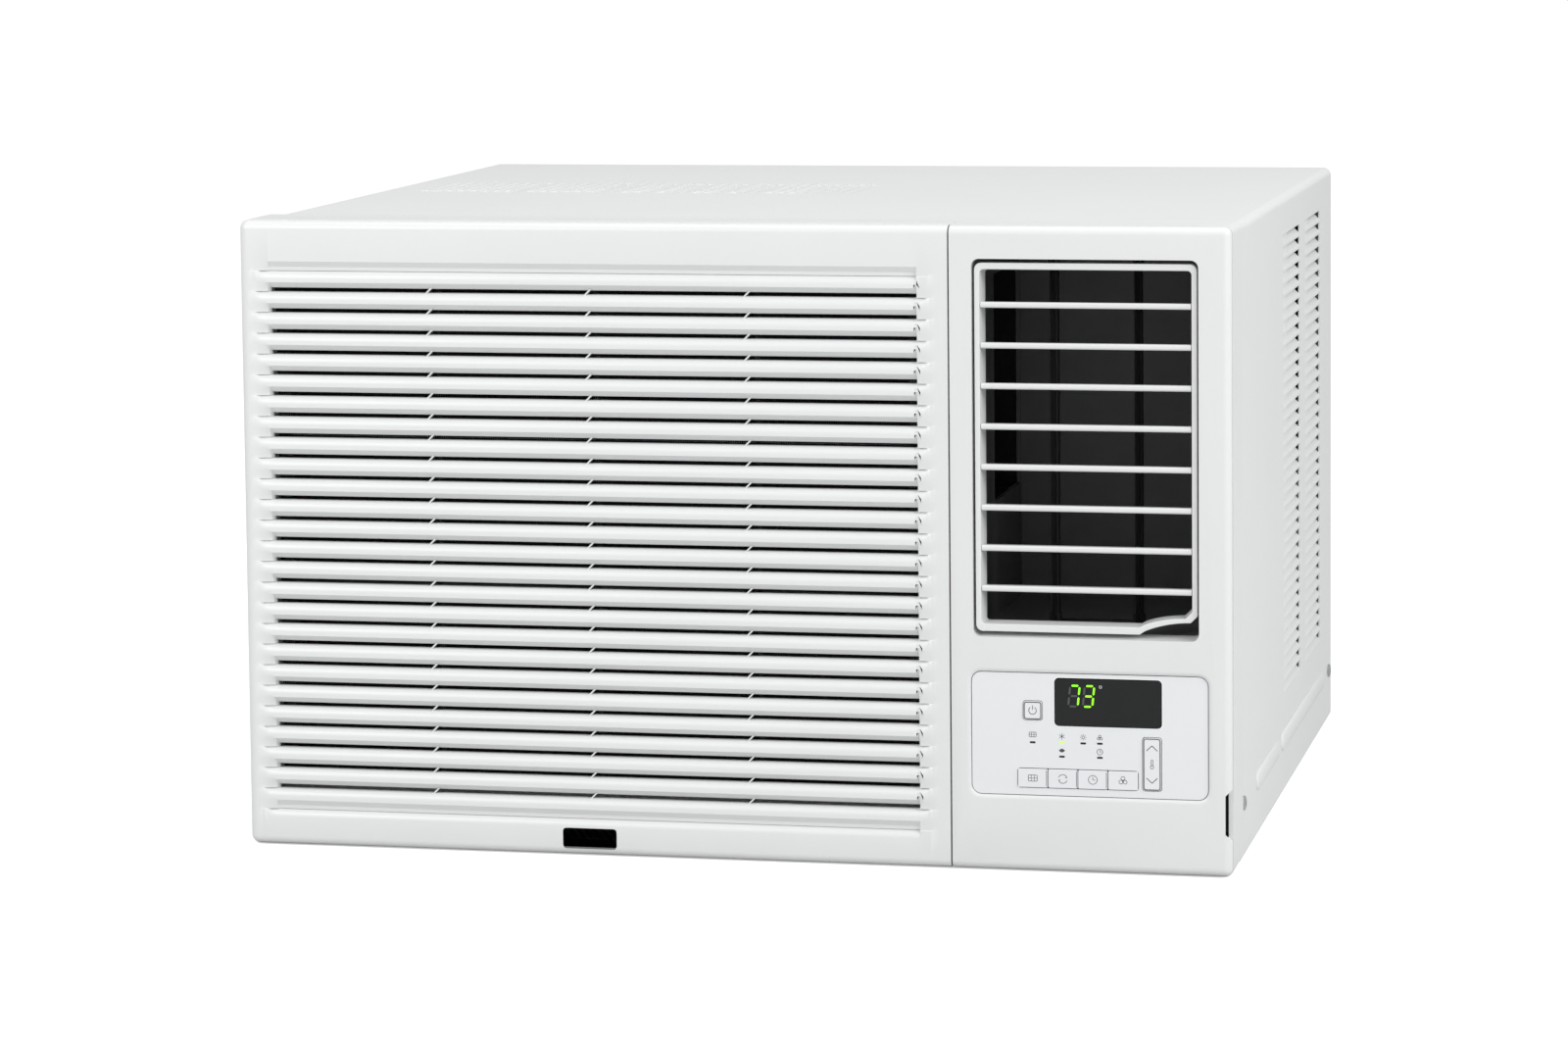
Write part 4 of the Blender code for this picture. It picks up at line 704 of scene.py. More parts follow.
class WINDOWUNIT_OT_grille(UnitOperator, bpy.types.Operator):
    """Build the slatted intake panel with chamfered slats that run out at both ends."""

    bl_idname = "window_unit.grille"
    bl_label = "Intake grille"

    def execute(self, context):
        size = self.front
        low, high = corners("inlet_grille")
        bm = bmesh.new()
        step = size.rim_step
        add_face(bm, [(low.x + step, low.z + step), (high.x, low.z + step), (high.x, high.z - step),
                      (low.x + step, high.z - step)], low.y)
        steps = 6
        left_lines = [size.slot_left - 1.2 * MM - size.fade * i / steps for i in range(steps + 1)]
        right_lines = [size.slot_right + 0.8 * MM + size.fade * i / steps for i in range(steps + 1)]
        ends = [size.slot_left, size.slot_left + 1 * MM, size.slot_right - 1 * MM, size.slot_right]
        slice_at(bm, 0, left_lines + right_lines + ends)
        grooves = self.grooves()
        slice_at(bm, 2, [line for groove in grooves for line in groove["lines"]])
        self.press_grooves(bm, grooves)

        holes = [face for face in bm.faces if self.is_hole(face.calc_center_median(), grooves)]
        bmesh.ops.delete(bm, geom=holes, context="FACES")
        back = extrude_faces(bm, bm.faces[:], (0, size.slat_depth, 0))
        for vert in back:
            vert.co.y = low.y + size.slat_depth
        self.turn_back_edge(bm, low, high)
        self.add_ribs(bm, grooves)
        as_piece("slatted_panel", bm, "moulded_abs", "inlet_grille", ["inlet_grille"], 28)
        return {"FINISHED"}

    def grooves(self):
        """Lines of each groove from its top: crest, chamfer foot, ledge and lip."""
        size = self.front
        found = []
        for row in range(-1, size.slot_rows + 1):
            middle = size.first_slot - size.slot_pitch * row
            lip = middle - size.gap / 2
            foot = middle + size.gap / 2
            found.append({"open": 0 <= row < size.slot_rows,
                          "lines": (foot + size.chamfer, foot, lip + 0.3 * MM, lip)})
        return found

    def run_out(self, x):
        """How deep a groove is at a place: a step at each end of the slots, then a run-out to the face."""
        size = self.front
        if size.slot_left - 1e-6 < x < size.slot_right + 1e-6:
            return 1
        if x < size.slot_left:
            part, share = (size.slot_left - 1.2 * MM - x) / size.fade, 0.45
        else:
            part, share = (x - size.slot_right - 0.8 * MM) / size.fade, 0.22
        part = 1 - max(0, min(1, part))
        return share * part * part * (3 - 2 * part)

    def press_grooves(self, bm, grooves):
        """Lean the chamfers in, running out at both ends."""
        size = self.front
        depths = {}
        for groove in grooves:
            deep = size.chamfer_depth if groove["open"] else size.chamfer_depth * 0.55
            depths[round(groove["lines"][1], 6)] = deep
            depths[round(groove["lines"][2], 6)] = deep * 1.05
        for vert in bm.verts:
            vert.co.y += depths.get(round(vert.co.z, 6), 0) * self.run_out(vert.co.x)

    def is_hole(self, centre, grooves):
        """Whether a face's centre lies in an open slot."""
        size = self.front
        if not size.slot_left < centre.x < size.slot_right:
            return False
        return any(groove["open"] and groove["lines"][3] < centre.z < groove["lines"][1] for groove in grooves)

    def turn_back_edge(self, bm, low, high):
        """Round the outer front edges and add the wall that stands behind them."""
        size = self.front
        step = size.rim_step
        places = ((0, low.x + step), (2, low.z + step), (2, high.z - step))

        def at(edge, axis, place):
            return all(abs(vert.co[axis] - place) < 1e-6 for vert in edge.verts)

        upright = [edge for edge in bm.edges
                   if at(edge, *places[0]) and (at(edge, *places[1]) or at(edge, *places[2]))]
        bmesh.ops.bevel(bm, geom=upright, offset=size.corner_round, segments=5, profile=0.5,
                        affect="EDGES", material=-1)
        rim = []
        for edge in bm.edges:
            middle = (edge.verts[0].co + edge.verts[1].co) / 2
            turned = any(abs(face.normal.y) < 0.5 for face in edge.link_faces)
            if at(edge, 1, low.y) and turned and middle.x < high.x - 1e-5:
                rim.append(edge)
        bmesh.ops.bevel(bm, geom=rim, offset=size.edge_round, segments=6, profile=0.5,
                        affect="EDGES", material=-1)

        def outline(inset):
            radius = max(size.corner_round - inset, 1.5 * MM)
            return rounded_outline(*face_corners("inlet_grille", -inset), (radius, 0.5 * MM, 0.5 * MM, radius))

        add_hoop(bm, outline(0), outline(3 * MM), low.y + 5.8 * MM, high.y)

    def add_ribs(self, bm, grooves):
        """Three rows of slanted ties that hold the slats together."""
        lean = 2 * MM
        half = 0.6 * MM
        for x in TIE_PLACES:
            for groove in grooves:
                if groove["open"]:
                    foot, lip = groove["lines"][1] + 0.8 * MM, groove["lines"][3] - 0.8 * MM
                    add_prism(bm, [(x - lean - half, lip), (x - lean + half, lip), (x + lean + half, foot),
                                   (x + lean - half, foot)], FRONT + 2.6 * MM, FRONT + 6.4 * MM)


class WINDOWUNIT_OT_badge(UnitOperator, bpy.types.Operator):
    """Build the small plain badge at the grille's foot."""

    bl_idname = "window_unit.badge"
    bl_label = "Badge"

    def execute(self, context):
        low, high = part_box("badge")
        middle = (low[2] + high[2]) / 2
        bm = bmesh.new()
        add_plate(bm, *face_corners("badge"), 2.5 * MM, low[1], high[1])
        plate = as_piece("plain_badge", bm, "badge", "inlet_grille", ["badge"])
        soften(plate, 0.4 * MM, 3)
        trim = bmesh.new()
        add_soft_box(trim, (low[0] + 5 * MM, low[1], middle - 0.6 * MM),
                     (high[0] - 5 * MM, low[1] + 0.5 * MM, middle + 0.6 * MM), 0.2 * MM)
        as_piece("badge_line", trim, "filter_rib", "inlet_grille")
        return {"FINISHED"}


class WINDOWUNIT_OT_filter(UnitOperator, bpy.types.Operator):
    """Build the filter's lattice and its woven net."""

    bl_idname = "window_unit.filter"
    bl_label = "Filter"

    def execute(self, context):
        low, high = corners("filter_frame")
        face_y = low.y + 0.6 * MM
        back_y = low.y + 4.0 * MM
        bm = bmesh.new()
        add_soft_box(bm, (low.x, low.y, low.z), (low.x + 3.5 * MM, high.y, high.z), 0.5 * MM)
        add_soft_box(bm, (low.x + 2 * MM, face_y, low.z), (-278 * MM, back_y, high.z), 0.5 * MM)
        add_soft_box(bm, (104.5 * MM, face_y, low.z), (high.x, back_y, high.z), 0.5 * MM)
        for z, half in ((low.z + 4 * MM, 4 * MM), *((z, 3 * MM) for z in FILTER_BARS_Z), (high.z - 4 * MM, 4 * MM)):
            add_soft_box(bm, (low.x + 2 * MM, face_y, z - half), (high.x, back_y, z + half), 0.5 * MM)
        for x in FILTER_BARS_X:
            add_soft_box(bm, (x - 1.5 * MM, face_y, low.z), (x + 1.5 * MM, back_y, high.z), 0.5 * MM)
        as_piece("filter_lattice", bm, "filter_rib", "air_filter", ["filter_frame"])

        net = bmesh.new()
        pitch = 1.4 * MM
        half = 0.34 * MM
        left, right = -288 * MM, high.x - 3 * MM
        bottom, top = low.z + 3 * MM, high.z - 3 * MM
        for step in range(int((right - left) / pitch)):
            x = left + pitch * step
            add_box(net, (x - half, face_y - 0.40 * MM, bottom), (x + half, face_y - 0.15 * MM, top))
        for step in range(int((top - bottom) / pitch)):
            z = bottom + pitch * step
            add_box(net, (left, face_y - 0.25 * MM, z - half), (right, face_y - 0.05 * MM, z + half))
        as_piece("filter_weave", net, "filter_thread", "air_filter", ["filter_net"],
                 recalculate=False)
        return {"FINISHED"}


# ---------------------------------------------------------------- outlet
class WINDOWUNIT_OT_outlet(UnitOperator, bpy.types.Operator):
    """Build the tilting louvre frame and the two upright vanes behind it."""

    bl_idname = "window_unit.outlet"
    bl_label = "Outlet louvres"

    def execute(self, context):
        self.add_frame()
        for name in ("vane_left", "vane_right"):
            self.add_vane(name)
        self.add_link()
        dress(["discharge_duct"], "duct_liner")
        return {"FINISHED"}

    def frame_outline(self, side, top, foot, rise, radius):
        """The frame's outline inset from its sides, top and foot, with the foot's rising finger notch."""
        low, high = corners("outlet_louvre_frame")
        steps = 10
        crown = rounded_outline((low.x + side, low.z + foot), (high.x - side, high.z - top), (radius,) * 4)
        notch = high.x - 34 * MM
        last = high.x - side - 4 * MM
        line = [(low.x + side + radius, low.z + foot), (notch - 2.5 * MM, low.z + foot), (notch, low.z + foot)]
        for step in range(1, steps + 1):
            part = step / steps
            line.append((notch + (last - notch) * part,
                         low.z + foot + rise * math.sin(part * math.pi / 2) ** 0.7))
        line.append((high.x - side, line[-1][1] + 4 * MM))
        return line + crown[12:] + crown[:6]

    def add_frame(self):
        low, high = corners("outlet_louvre_frame")
        bar = 4.5 * MM
        bm = bmesh.new()
        add_hoop(bm, self.frame_outline(0, 0, 0, 7.5 * MM, 4 * MM),
                 self.frame_outline(3.1 * MM, 3.8 * MM, 4.3 * MM, 5.6 * MM, 2.6 * MM), low.y, high.y,
                 self.frame_outline(0.4 * MM, 0.4 * MM, 0.4 * MM, 7.2 * MM, 4 * MM),
                 self.frame_outline(4.7 * MM, 5.0 * MM, 5.2 * MM, 5.2 * MM, 1.6 * MM))
        frame_piece = as_piece("louvre_frame", bm, "moulded_abs", "outlet_louvre", ["outlet_louvre_frame"],
                               30)
        soften(frame_piece, 0.7 * MM, 3)

        slats = bmesh.new()
        thick = 1.75 * MM
        for row in range(SLAT_COUNT):
            z = SLAT_TOP - SLAT_PITCH * row
            section = [(low.y + 1.2 * MM, z - thick), (low.y + 0.3 * MM, z - thick * 0.5),
                       (low.y + 0.3 * MM, z + thick * 0.5), (low.y + 1.2 * MM, z + thick),
                       (high.y - 3 * MM, z + thick * 0.7), (high.y - 0.5 * MM, z),
                       (high.y - 3 * MM, z - thick * 0.7)]
            left = low.x + bar - 1 * MM
            face = slats.faces.new([slats.verts.new((left, y, height)) for y, height in section])
            extrude_faces(slats, [face], (high.x - low.x - 2 * bar + 2 * MM, 0, 0))
        slat_piece = as_piece("louvre_slats", slats, "moulded_abs", "outlet_louvre", angle=50)
        soften(slat_piece, 0.3 * MM, 2, 40)

    def add_vane(self, name):
        low, high = corners(name)
        x, y = (low.x + high.x) / 2, (low.y + high.y) / 2
        blade_low, blade_high = VANE_SPAN
        half = (high.y - low.y) / 2
        bm = bmesh.new()
        angles = [2 * math.pi * step / 14 for step in range(14)]
        foot = [(x + 1.25 * MM * math.sin(angle), y + half * math.cos(angle), blade_low) for angle in angles]
        face = bm.faces.new([bm.verts.new(place) for place in foot])
        extrude_faces(bm, [face], (0, 0, blade_high - blade_low))
        add_rod(bm, (x, y, low.z), (x, y, high.z), 2.2 * MM, 20)
        for z in (blade_low, blade_high - 5 * MM):
            add_rod(bm, (x, y, z), (x, y, z + 5 * MM), 3.6 * MM, 24)
        vane = as_piece(name + "_blade", bm, "black_abs", name, [name])
        soften(vane, 0.25 * MM, 2, 50)

    def add_link(self):
        low, high = corners("vane_link_bar")
        bm = bmesh.new()
        add_soft_box(bm, low, high, 0.8 * MM)
        middle = (low.y + high.y) / 2
        for x in (low.x + 4 * MM, high.x - 4 * MM):
            add_rod(bm, (x, middle, low.z + 0.5 * MM), (x, middle, high.z + 0.5 * MM), 1.6 * MM, 16)
        as_piece("vane_link", bm, "black_abs", "vane_link", ["vane_link_bar"])


# ---------------------------------------------------------------- controls
class WINDOWUNIT_OT_controls(UnitOperator, bpy.types.Operator):
    """Build the control panel: overlay, smoked display, digits, keys and printed symbols."""

    bl_idname = "window_unit.controls"
    bl_label = "Controls"

    def execute(self, context):
        self.face = PANEL_LOW[1]
        self.add_overlay()
        self.add_display()
        self.add_digits()
        self.add_keys()
        self.add_symbols()
        return {"FINISHED"}

    def add_overlay(self):
        bm = bmesh.new()
        add_plate(bm, *face_corners("control_panel"), 5.5 * MM, self.face, PANEL_HIGH[1])
        holes = bmesh.new()
        groups = [("display_window",), ("power_button",), ("temperature_rocker",),
                  ("filter_reset_key", "mode_key", "timer_key", "fan_speed_key")]
        for names in groups:
            low, high = face_corners(names[0], 0.35 * MM)[0], face_corners(names[-1], 0.35 * MM)[1]
            radius = 2.6 * MM if names[0] == "display_window" else 1.8 * MM
            add_plate(holes, low, high, radius, self.face - 2 * MM, PANEL_HIGH[1] + 2 * MM)
        panel = as_piece("panel_overlay", carve(bm, [holes]), "panel_overlay", "chassis", ["control_panel"])
        soften(panel, 0.25 * MM, 2)

    def add_display(self):
        low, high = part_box("display_window")
        bm = bmesh.new()
        add_plate(bm, *face_corners("display_window"), 2.5 * MM, low[1], high[1])
        lens = as_piece("display_lens", bm, "lens", "chassis", ["display_window"])
        soften(lens, 0.3 * MM, 3)
        # A thin ring round the lens, painted brighter than the panel white as a painted highlight along the lens
        # edge.
        trim = bmesh.new()
        rings = [rounded_outline(*face_corners("display_window", out), (2.7 * MM,) * 4)
                 for out in (0.9 * MM, 0.4 * MM)]
        self.fill_between(trim, rings[0], rings[1], self.face)
        as_piece("display_edge_highlight", trim, "lens_edge_highlight", "chassis")

    def add_digits(self):
        """Two slanted seven-segment digits; the segments run clockwise from the top, middle last."""
        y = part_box("display_window")[0][1]
        lit = {0: (0, 1, 2), 1: (0, 1, 2, 3, 6)}
        wide, tall, bar = 5.6 * MM, 12.2 * MM, 1.15 * MM
        lean = 0.10
        foot, half = DIGIT_FOOT, tall / 2
        for digit, left in enumerate(DIGIT_LEFTS):
            spots = [((0.5, 1), True), ((1, 0.75), False), ((1, 0.25), False), ((0.5, 0), True),
                     ((0, 0.25), False), ((0, 0.75), False), ((0.5, 0.5), True)]
            for on in (True, False):
                bm = bmesh.new()
                for index, ((across, up), flat) in enumerate(spots):
                    if (index in lit[digit]) != on:
                        continue
                    x = left + wide * across + lean * tall * up
                    z = foot + tall * up
                    reach = (wide if flat else half) / 2 - bar * 0.55
                    if flat:
                        points = [(-reach, 0), (-reach + bar / 2, -bar / 2), (reach - bar / 2, -bar / 2),
                                  (reach, 0), (reach - bar / 2, bar / 2), (-reach + bar / 2, bar / 2)]
                    else:
                        points = [(0, -reach), (bar / 2, -reach + bar / 2), (bar / 2, reach - bar / 2),
                                  (0, reach), (-bar / 2, reach - bar / 2), (-bar / 2, -reach + bar / 2)]
                    outline = [(x + u + lean * v, z + v) for u, v in points]
                    add_prism(bm, outline, y - 0.10 * MM, y + 0.15 * MM)
                name = f"digit_{digit + 1}_{'lit' if on else 'unlit'}"
                as_piece(name, bm, "lit" if on else "unlit", "chassis")
        ring = bmesh.new()
        self.add_ring(ring, (222.6 * MM, 110.4 * MM), 0.9 * MM, 0.35 * MM, y)
        as_piece("degree_ring", ring, "filter_rib", "chassis")

    def add_keys(self):
        """Caps with a printed outline; the four function keys share one outline."""
        outlined = {"power_button": 1.6 * MM, "temperature_rocker": 1.6 * MM}
        keys = ("power_button", "filter_reset_key", "mode_key", "timer_key", "fan_speed_key",
                "temperature_rocker")
        for name in keys:
            low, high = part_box(name)
            radius = outlined.get(name, 0.8 * MM)
            bm = bmesh.new()
            add_plate(bm, *face_corners(name), radius, low[1], high[1])
            cap = as_piece(name + "_cap", bm, "key_cap", name, [name])
            soften(cap, 0.3 * MM, 3)
            if name in outlined:
                self.print_frame(name + "_outline", name, *face_corners(name), radius, low[1])
        boxes = [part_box(name) for name in keys[1:5]]
        left, right = boxes[0][0][0], boxes[-1][1][0]
        bottom, top = boxes[0][0][2], boxes[0][1][2]
        out = 0.55 * MM
        self.print_frame("key_row_outline", "chassis", (left - out, bottom - out), (right + out, top + out),
                         1.8 * MM, self.face, 0.55 * MM)
        for number, (name, box) in enumerate(zip(keys[1:4], boxes), 1):
            bm = bmesh.new()
            add_box(bm, (box[1][0] - 0.75 * MM, box[0][1] - 0.05 * MM, bottom + 0.9 * MM),
                    (box[1][0] - 0.4 * MM, box[0][1] + 0.3 * MM, top - 0.9 * MM))
            as_piece(f"key_divider_{number}", bm, "print", name)

    def print_frame(self, name, body, low, high, radius, y, line=0.6 * MM):
        """A thin printed rounded frame on a surface."""
        bm = bmesh.new()
        edge = 0.3 * MM
        outer, inner = (rounded_outline(*grown(low, high, -inset), (corner,) * 4)
                        for inset, corner in ((edge, radius), (edge + line, max(radius - line, 0.4 * MM))))
        self.fill_between(bm, outer, inner, y)
        as_piece(name, bm, "print", body)

    def add_print(self, bm, outline, y):
        """A print that stands out of a surface."""
        add_prism(bm, outline, y - PRINT_RISE, y + 2 * PRINT_RISE)

    def fill_between(self, bm, outer, inner, y):
        """A raised print 0.05 mm thick between two outlines with the same number of points."""
        add_hoop(bm, outer, inner, y - PRINT_RISE, y - PRINT_RISE + 3 * PRINT_RISE)

    def add_ring(self, bm, centre, radius, line, y, start=0, sweep=360):
        """A printed ring or arc."""
        count = 24
        closed = sweep == 360
        angles = [math.radians(start + sweep * step / count) for step in range(count + (0 if closed else 1))]
        lines = [[(centre[0] + r * math.cos(a), centre[1] + r * math.sin(a)) for a in angles]
                 for r in (radius, radius - line)]
        if closed:
            self.fill_between(bm, lines[0], lines[1], y)
        else:
            self.add_print(bm, lines[0] + lines[1][::-1], y)

    def add_stroke(self, bm, start, end, line, y):
        """A printed straight stroke."""
        along = (Vector(end) - Vector(start)).normalized()
        across = Vector((-along.y, along.x)) * line / 2
        points = [Vector(start) + across, Vector(start) - across, Vector(end) - across, Vector(end) + across]
        self.add_print(bm, points, y)

    def add_symbols(self):
        """Plain symbols in place of lettering, and the indicator dashes."""
        symbols = (
            ("power_symbol", "power_button", "power", 2.1, None),
            ("filter_symbol", "filter_reset_key", "filter", 2.4, None),
            ("mode_symbol", "mode_key", "mode", 2.4, None),
            ("timer_symbol", "timer_key", "clock", 2.4, None),
            ("speed_symbol", "fan_speed_key", "fan", 2.4, None),
            ("clean_lamp_symbol", "chassis", "filter", 1.9, (182.4, 81.2)),
            ("cool_lamp_symbol", "chassis", "snow", 1.6, (199.7, 80.6)),
            ("heat_lamp_symbol", "chassis", "sun", 1.6, (212.3, 80.4)),
            ("fan_lamp_symbol", "chassis", "fan", 1.6, (222.1, 80.3)),
            ("saver_lamp_symbol", "chassis", "leaf", 1.6, (199.7, 72.2)),
            ("timer_lamp_symbol", "chassis", "clock", 1.6, (222.1, 72.0)),
        )
        for name, body, kind, radius, place in symbols:
            if place is None:
                low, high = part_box(body)
                place = ((low[0] + high[0]) / 2, (low[2] + high[2]) / 2)
                y = low[1]
            else:
                place = (place[0] * MM, place[1] * MM)
                y = self.face
            bm = bmesh.new()
            getattr(self, "draw_" + kind)(bm, place, radius * 1.15 * MM, y)
            as_piece(name, bm, "print", body)
        for name, material, places in (("unlit_indicators", "print_dark", LAMPS_OFF),
                                       ("cool_indicator", "lamp_on", (LAMP_ON,))):
            bm = bmesh.new()
            for x, z in places:
                self.add_dash(bm, x * MM, z * MM)
            as_piece(name, bm, material, "chassis")
        low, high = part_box("temperature_rocker")
        middle = (low[0] + high[0]) / 2
        bm = bmesh.new()
        for z, way in ((high[2] - 6.2 * MM, 1), (low[2] + 6.2 * MM, -1)):
            tip = (middle, z + way * 1.6 * MM)
            for side in (-1, 1):
                self.add_stroke(bm, (middle + side * 3.2 * MM, z - way * 1.4 * MM), tip, 0.45 * MM, low[1])
        as_piece("rocker_arrows", bm, "print", "temperature_rocker")
        bm = bmesh.new()
        self.draw_thermometer(bm, (middle, (low[2] + high[2]) / 2), 2.6 * MM, low[1])
        as_piece("temperature_symbol", bm, "print", "temperature_rocker")

    def add_dash(self, bm, x, z):
        """A pill-shaped indicator window."""
        outline = rounded_outline((x - 1.7 * MM, z - 0.6 * MM), (x + 1.7 * MM, z + 0.6 * MM),
                                  (0.55 * MM,) * 4, 3)
        add_prism(bm, outline, self.face - 0.06 * MM, self.face + 0.1 * MM)

    def draw_power(self, bm, place, radius, y):
        self.add_ring(bm, place, radius, 0.4 * MM, y, 125, 290)
        self.add_stroke(bm, (place[0], place[1] + radius * 0.2), (place[0], place[1] + radius * 1.25),
                        0.4 * MM, y)

    def draw_clock(self, bm, place, radius, y):
        self.add_ring(bm, place, radius, 0.32 * MM, y)
        self.add_stroke(bm, place, (place[0], place[1] + radius * 0.6), 0.3 * MM, y)
        self.add_stroke(bm, place, (place[0] + radius * 0.5, place[1]), 0.3 * MM, y)

    def draw_snow(self, bm, place, radius, y):
        for step in range(3):
            angle = math.radians(90 + 60 * step)
            reach = Vector((math.cos(angle), math.sin(angle))) * radius
            self.add_stroke(bm, Vector(place) - reach, Vector(place) + reach, 0.3 * MM, y)

    def draw_sun(self, bm, place, radius, y):
        self.add_ring(bm, place, radius * 0.5, 0.3 * MM, y)
        for step in range(8):
            angle = math.radians(45 * step)
            way = Vector((math.cos(angle), math.sin(angle))) * radius
            self.add_stroke(bm, Vector(place) + way * 0.7, Vector(place) + way, 0.28 * MM, y)

    def draw_fan(self, bm, place, radius, y):
        for step in range(3):
            angle = math.radians(90 + 120 * step)
            hub = (place[0] + radius * 0.52 * math.cos(angle), place[1] + radius * 0.52 * math.sin(angle))
            self.add_ring(bm, hub, radius * 0.46, 0.3 * MM, y)
        self.add_ring(bm, place, radius * 0.2, radius * 0.15, y)

    def draw_leaf(self, bm, place, radius, y):
        points = []
        for way in (1, -1):
            for step in range(7):
                part = step / 6 if way == 1 else 1 - step / 6
                points.append((place[0] + radius * (part * 2 - 1),
                               place[1] + way * radius * 0.62 * math.sin(part * math.pi)))
        self.add_print(bm, points[:7] + points[8:13], y)

    def draw_filter(self, bm, place, radius, y):
        low = (place[0] - radius, place[1] - radius * 0.7)
        high = (place[0] + radius, place[1] + radius * 0.7)
        line = 0.3 * MM
        self.fill_between(bm, rounded_outline(low, high, (0.5 * MM,) * 4, 2),
                          rounded_outline(*grown(low, high, -line), (0.25 * MM,) * 4, 2), y)
        for part in (-0.33, 0.33):
            x = place[0] + radius * part
            self.add_stroke(bm, (x, low[1]), (x, high[1]), 0.25 * MM, y)
        self.add_stroke(bm, (low[0], place[1]), (high[0], place[1]), 0.25 * MM, y)

    def draw_mode(self, bm, place, radius, y):
        self.add_ring(bm, place, radius, 0.35 * MM, y, 20, 140)
        self.add_ring(bm, place, radius, 0.35 * MM, y, 200, 140)
        for side in (-1, 1):
            tip = (place[0] + side * radius * 0.86, place[1] + side * radius * 0.2)
            tail = (tip[0] - side * radius * 0.35, tip[1] + side * radius * 0.1)
            self.add_stroke(bm, tail, tip, 0.35 * MM, y)

    def draw_thermometer(self, bm, place, radius, y):
        self.add_ring(bm, (place[0], place[1] - radius * 0.6), radius * 0.42, 0.32 * MM, y)
        for side in (-1, 1):
            x = place[0] + side * radius * 0.2
            self.add_stroke(bm, (x, place[1] - radius * 0.3), (x, place[1] + radius * 0.85), 0.3 * MM, y)
        self.add_ring(bm, (place[0], place[1] + radius * 0.85), radius * 0.26, 0.3 * MM, y, 0, 180)


# ---------------------------------------------------------------- case
class WINDOWUNIT_OT_case(UnitOperator, bpy.types.Operator):
    """Build the wrapped case with its pressed vents, side beads and rear flange."""

    bl_idname = "window_unit.case"
    bl_label = "Case"

    def execute(self, context):
        size = self.case
        low, high = corners("outer_case")
        bm = bmesh.new()
        self.wrap(bm, low, high, size.fold_round)
        self.press_vents(bm, low, high)
        self.turn_rear(bm, high)
        case = as_piece("wrapped_case", bm, "coated_steel", "chassis", ["outer_case"], 25)
        case.data.shade_flat()
        shell = case.modifiers.new("Sheet", "SOLIDIFY")
        shell.thickness = size.sheet
        shell.offset = -1
        self.add_beads()
        return {"FINISHED"}

    def wrap(self, bm, low, high, radius):
        """Sheet over the sides and the top with rounded folds."""
        points = [(low.x, low.z)]
        steps = 10
        for centre_x, first in ((low.x + radius, 180), (high.x - radius, 90)):
            for step in range(steps + 1):
                angle = math.radians(first - 90 * step / steps)
                points.append((centre_x + radius * math.cos(angle),
                               high.z - radius + radius * math.sin(angle)))
        points.append((high.x, low.z))
        line = [bm.verts.new((x, low.y, z)) for x, z in points]
        edges = [bm.edges.new(pair) for pair in zip(line, line[1:])]
        made = bmesh.ops.extrude_edge_only(bm, edges=edges)["geom"]
        moved = [item for item in made if isinstance(item, bmesh.types.BMVert)]
        bmesh.ops.translate(bm, vec=(0, high.y - low.y, 0), verts=moved)
        bmesh.ops.recalc_face_normals(bm, faces=bm.faces[:])
        if sum(face.normal.dot(face.calc_center_median() - Vector((0, 0, 0.15))) for face in bm.faces) < 0:
            bmesh.ops.reverse_faces(bm, faces=bm.faces[:])

    def vent_rects(self):
        """Every vent: the axis it faces, its direction, and its low and high corner in that plane."""
        size = self.case
        for row in range(size.vent_rows):
            top = size.first_vent - size.vent_pitch * row
            for bank in SIDE_BANKS:
                yield "side", (bank[0], top - size.vent_height), (bank[1], top)
            left = TOP_BANK_LEFT + size.vent_pitch * row
            yield "top", (left, TOP_BANK[0]), (left + size.vent_height, TOP_BANK[1])

    def press_vents(self, bm, low, high):
        """Shear each vent on three sides and press its free edge in."""
        size = self.case
        rects = list(self.vent_rects())
        sides = [rect for rect in rects if rect[0] == "side"]
        tops = [rect for rect in rects if rect[0] == "top"]
        slice_at(bm, 1, sorted({v for rect in sides for v in (rect[1][0], rect[2][0])}
                               | {v for rect in tops for v in (rect[1][1], rect[2][1])}))
        slice_at(bm, 2, sorted({v for rect in sides for v in (rect[1][1], rect[2][1])}))
        slice_at(bm, 0, sorted({v for rect in tops for v in (rect[1][0], rect[2][0])}))
        for kind, start, end in rects:
            blade = [face for face in bm.faces if self.is_within(face, kind, start, end)]
            made = bmesh.ops.split(bm, geom=blade)["geom"]
            for vert in (item for item in made if isinstance(item, bmesh.types.BMVert)):
                if kind == "top" and abs(vert.co.x - start[0]) < 1e-6:
                    vert.co.z -= size.top_vent_depth
                elif kind == "side" and abs(vert.co.z - end[1]) < 1e-6:
                    share = 0.3 + 0.7 * (vert.co.y - start[0]) / (end[0] - start[0])
                    vert.co.x -= math.copysign(size.vent_depth * share, vert.co.x)

    def is_within(self, face, kind, start, end):
        """A flat face of the sheet inside one vent's outline."""
        centre = face.calc_center_median()
        if kind == "side":
            return abs(face.normal.x) > 0.99 and start[0] < centre.y < end[0] and start[1] < centre.z < end[1]
        return abs(face.normal.z) > 0.99 and start[0] < centre.x < end[0] and start[1] < centre.y < end[1]

    def turn_rear(self, bm, high):
        """Fold the rear edge inwards as a flange."""
        rear = [edge for edge in bm.edges
                if edge.is_boundary and all(abs(v.co.y - high.y) < 1e-6 for v in edge.verts)]
        made = bmesh.ops.extrude_edge_only(bm, edges=rear)["geom"]
        flange = 18 * MM
        for vert in made:
            if isinstance(vert, bmesh.types.BMVert):
                vert.co.x = max(-high.x + flange, min(high.x - flange, vert.co.x))
                vert.co.z = min(high.z - flange, vert.co.z)
        bmesh.ops.remove_doubles(bm, verts=[v for v in made if isinstance(v, bmesh.types.BMVert)], dist=1e-5)

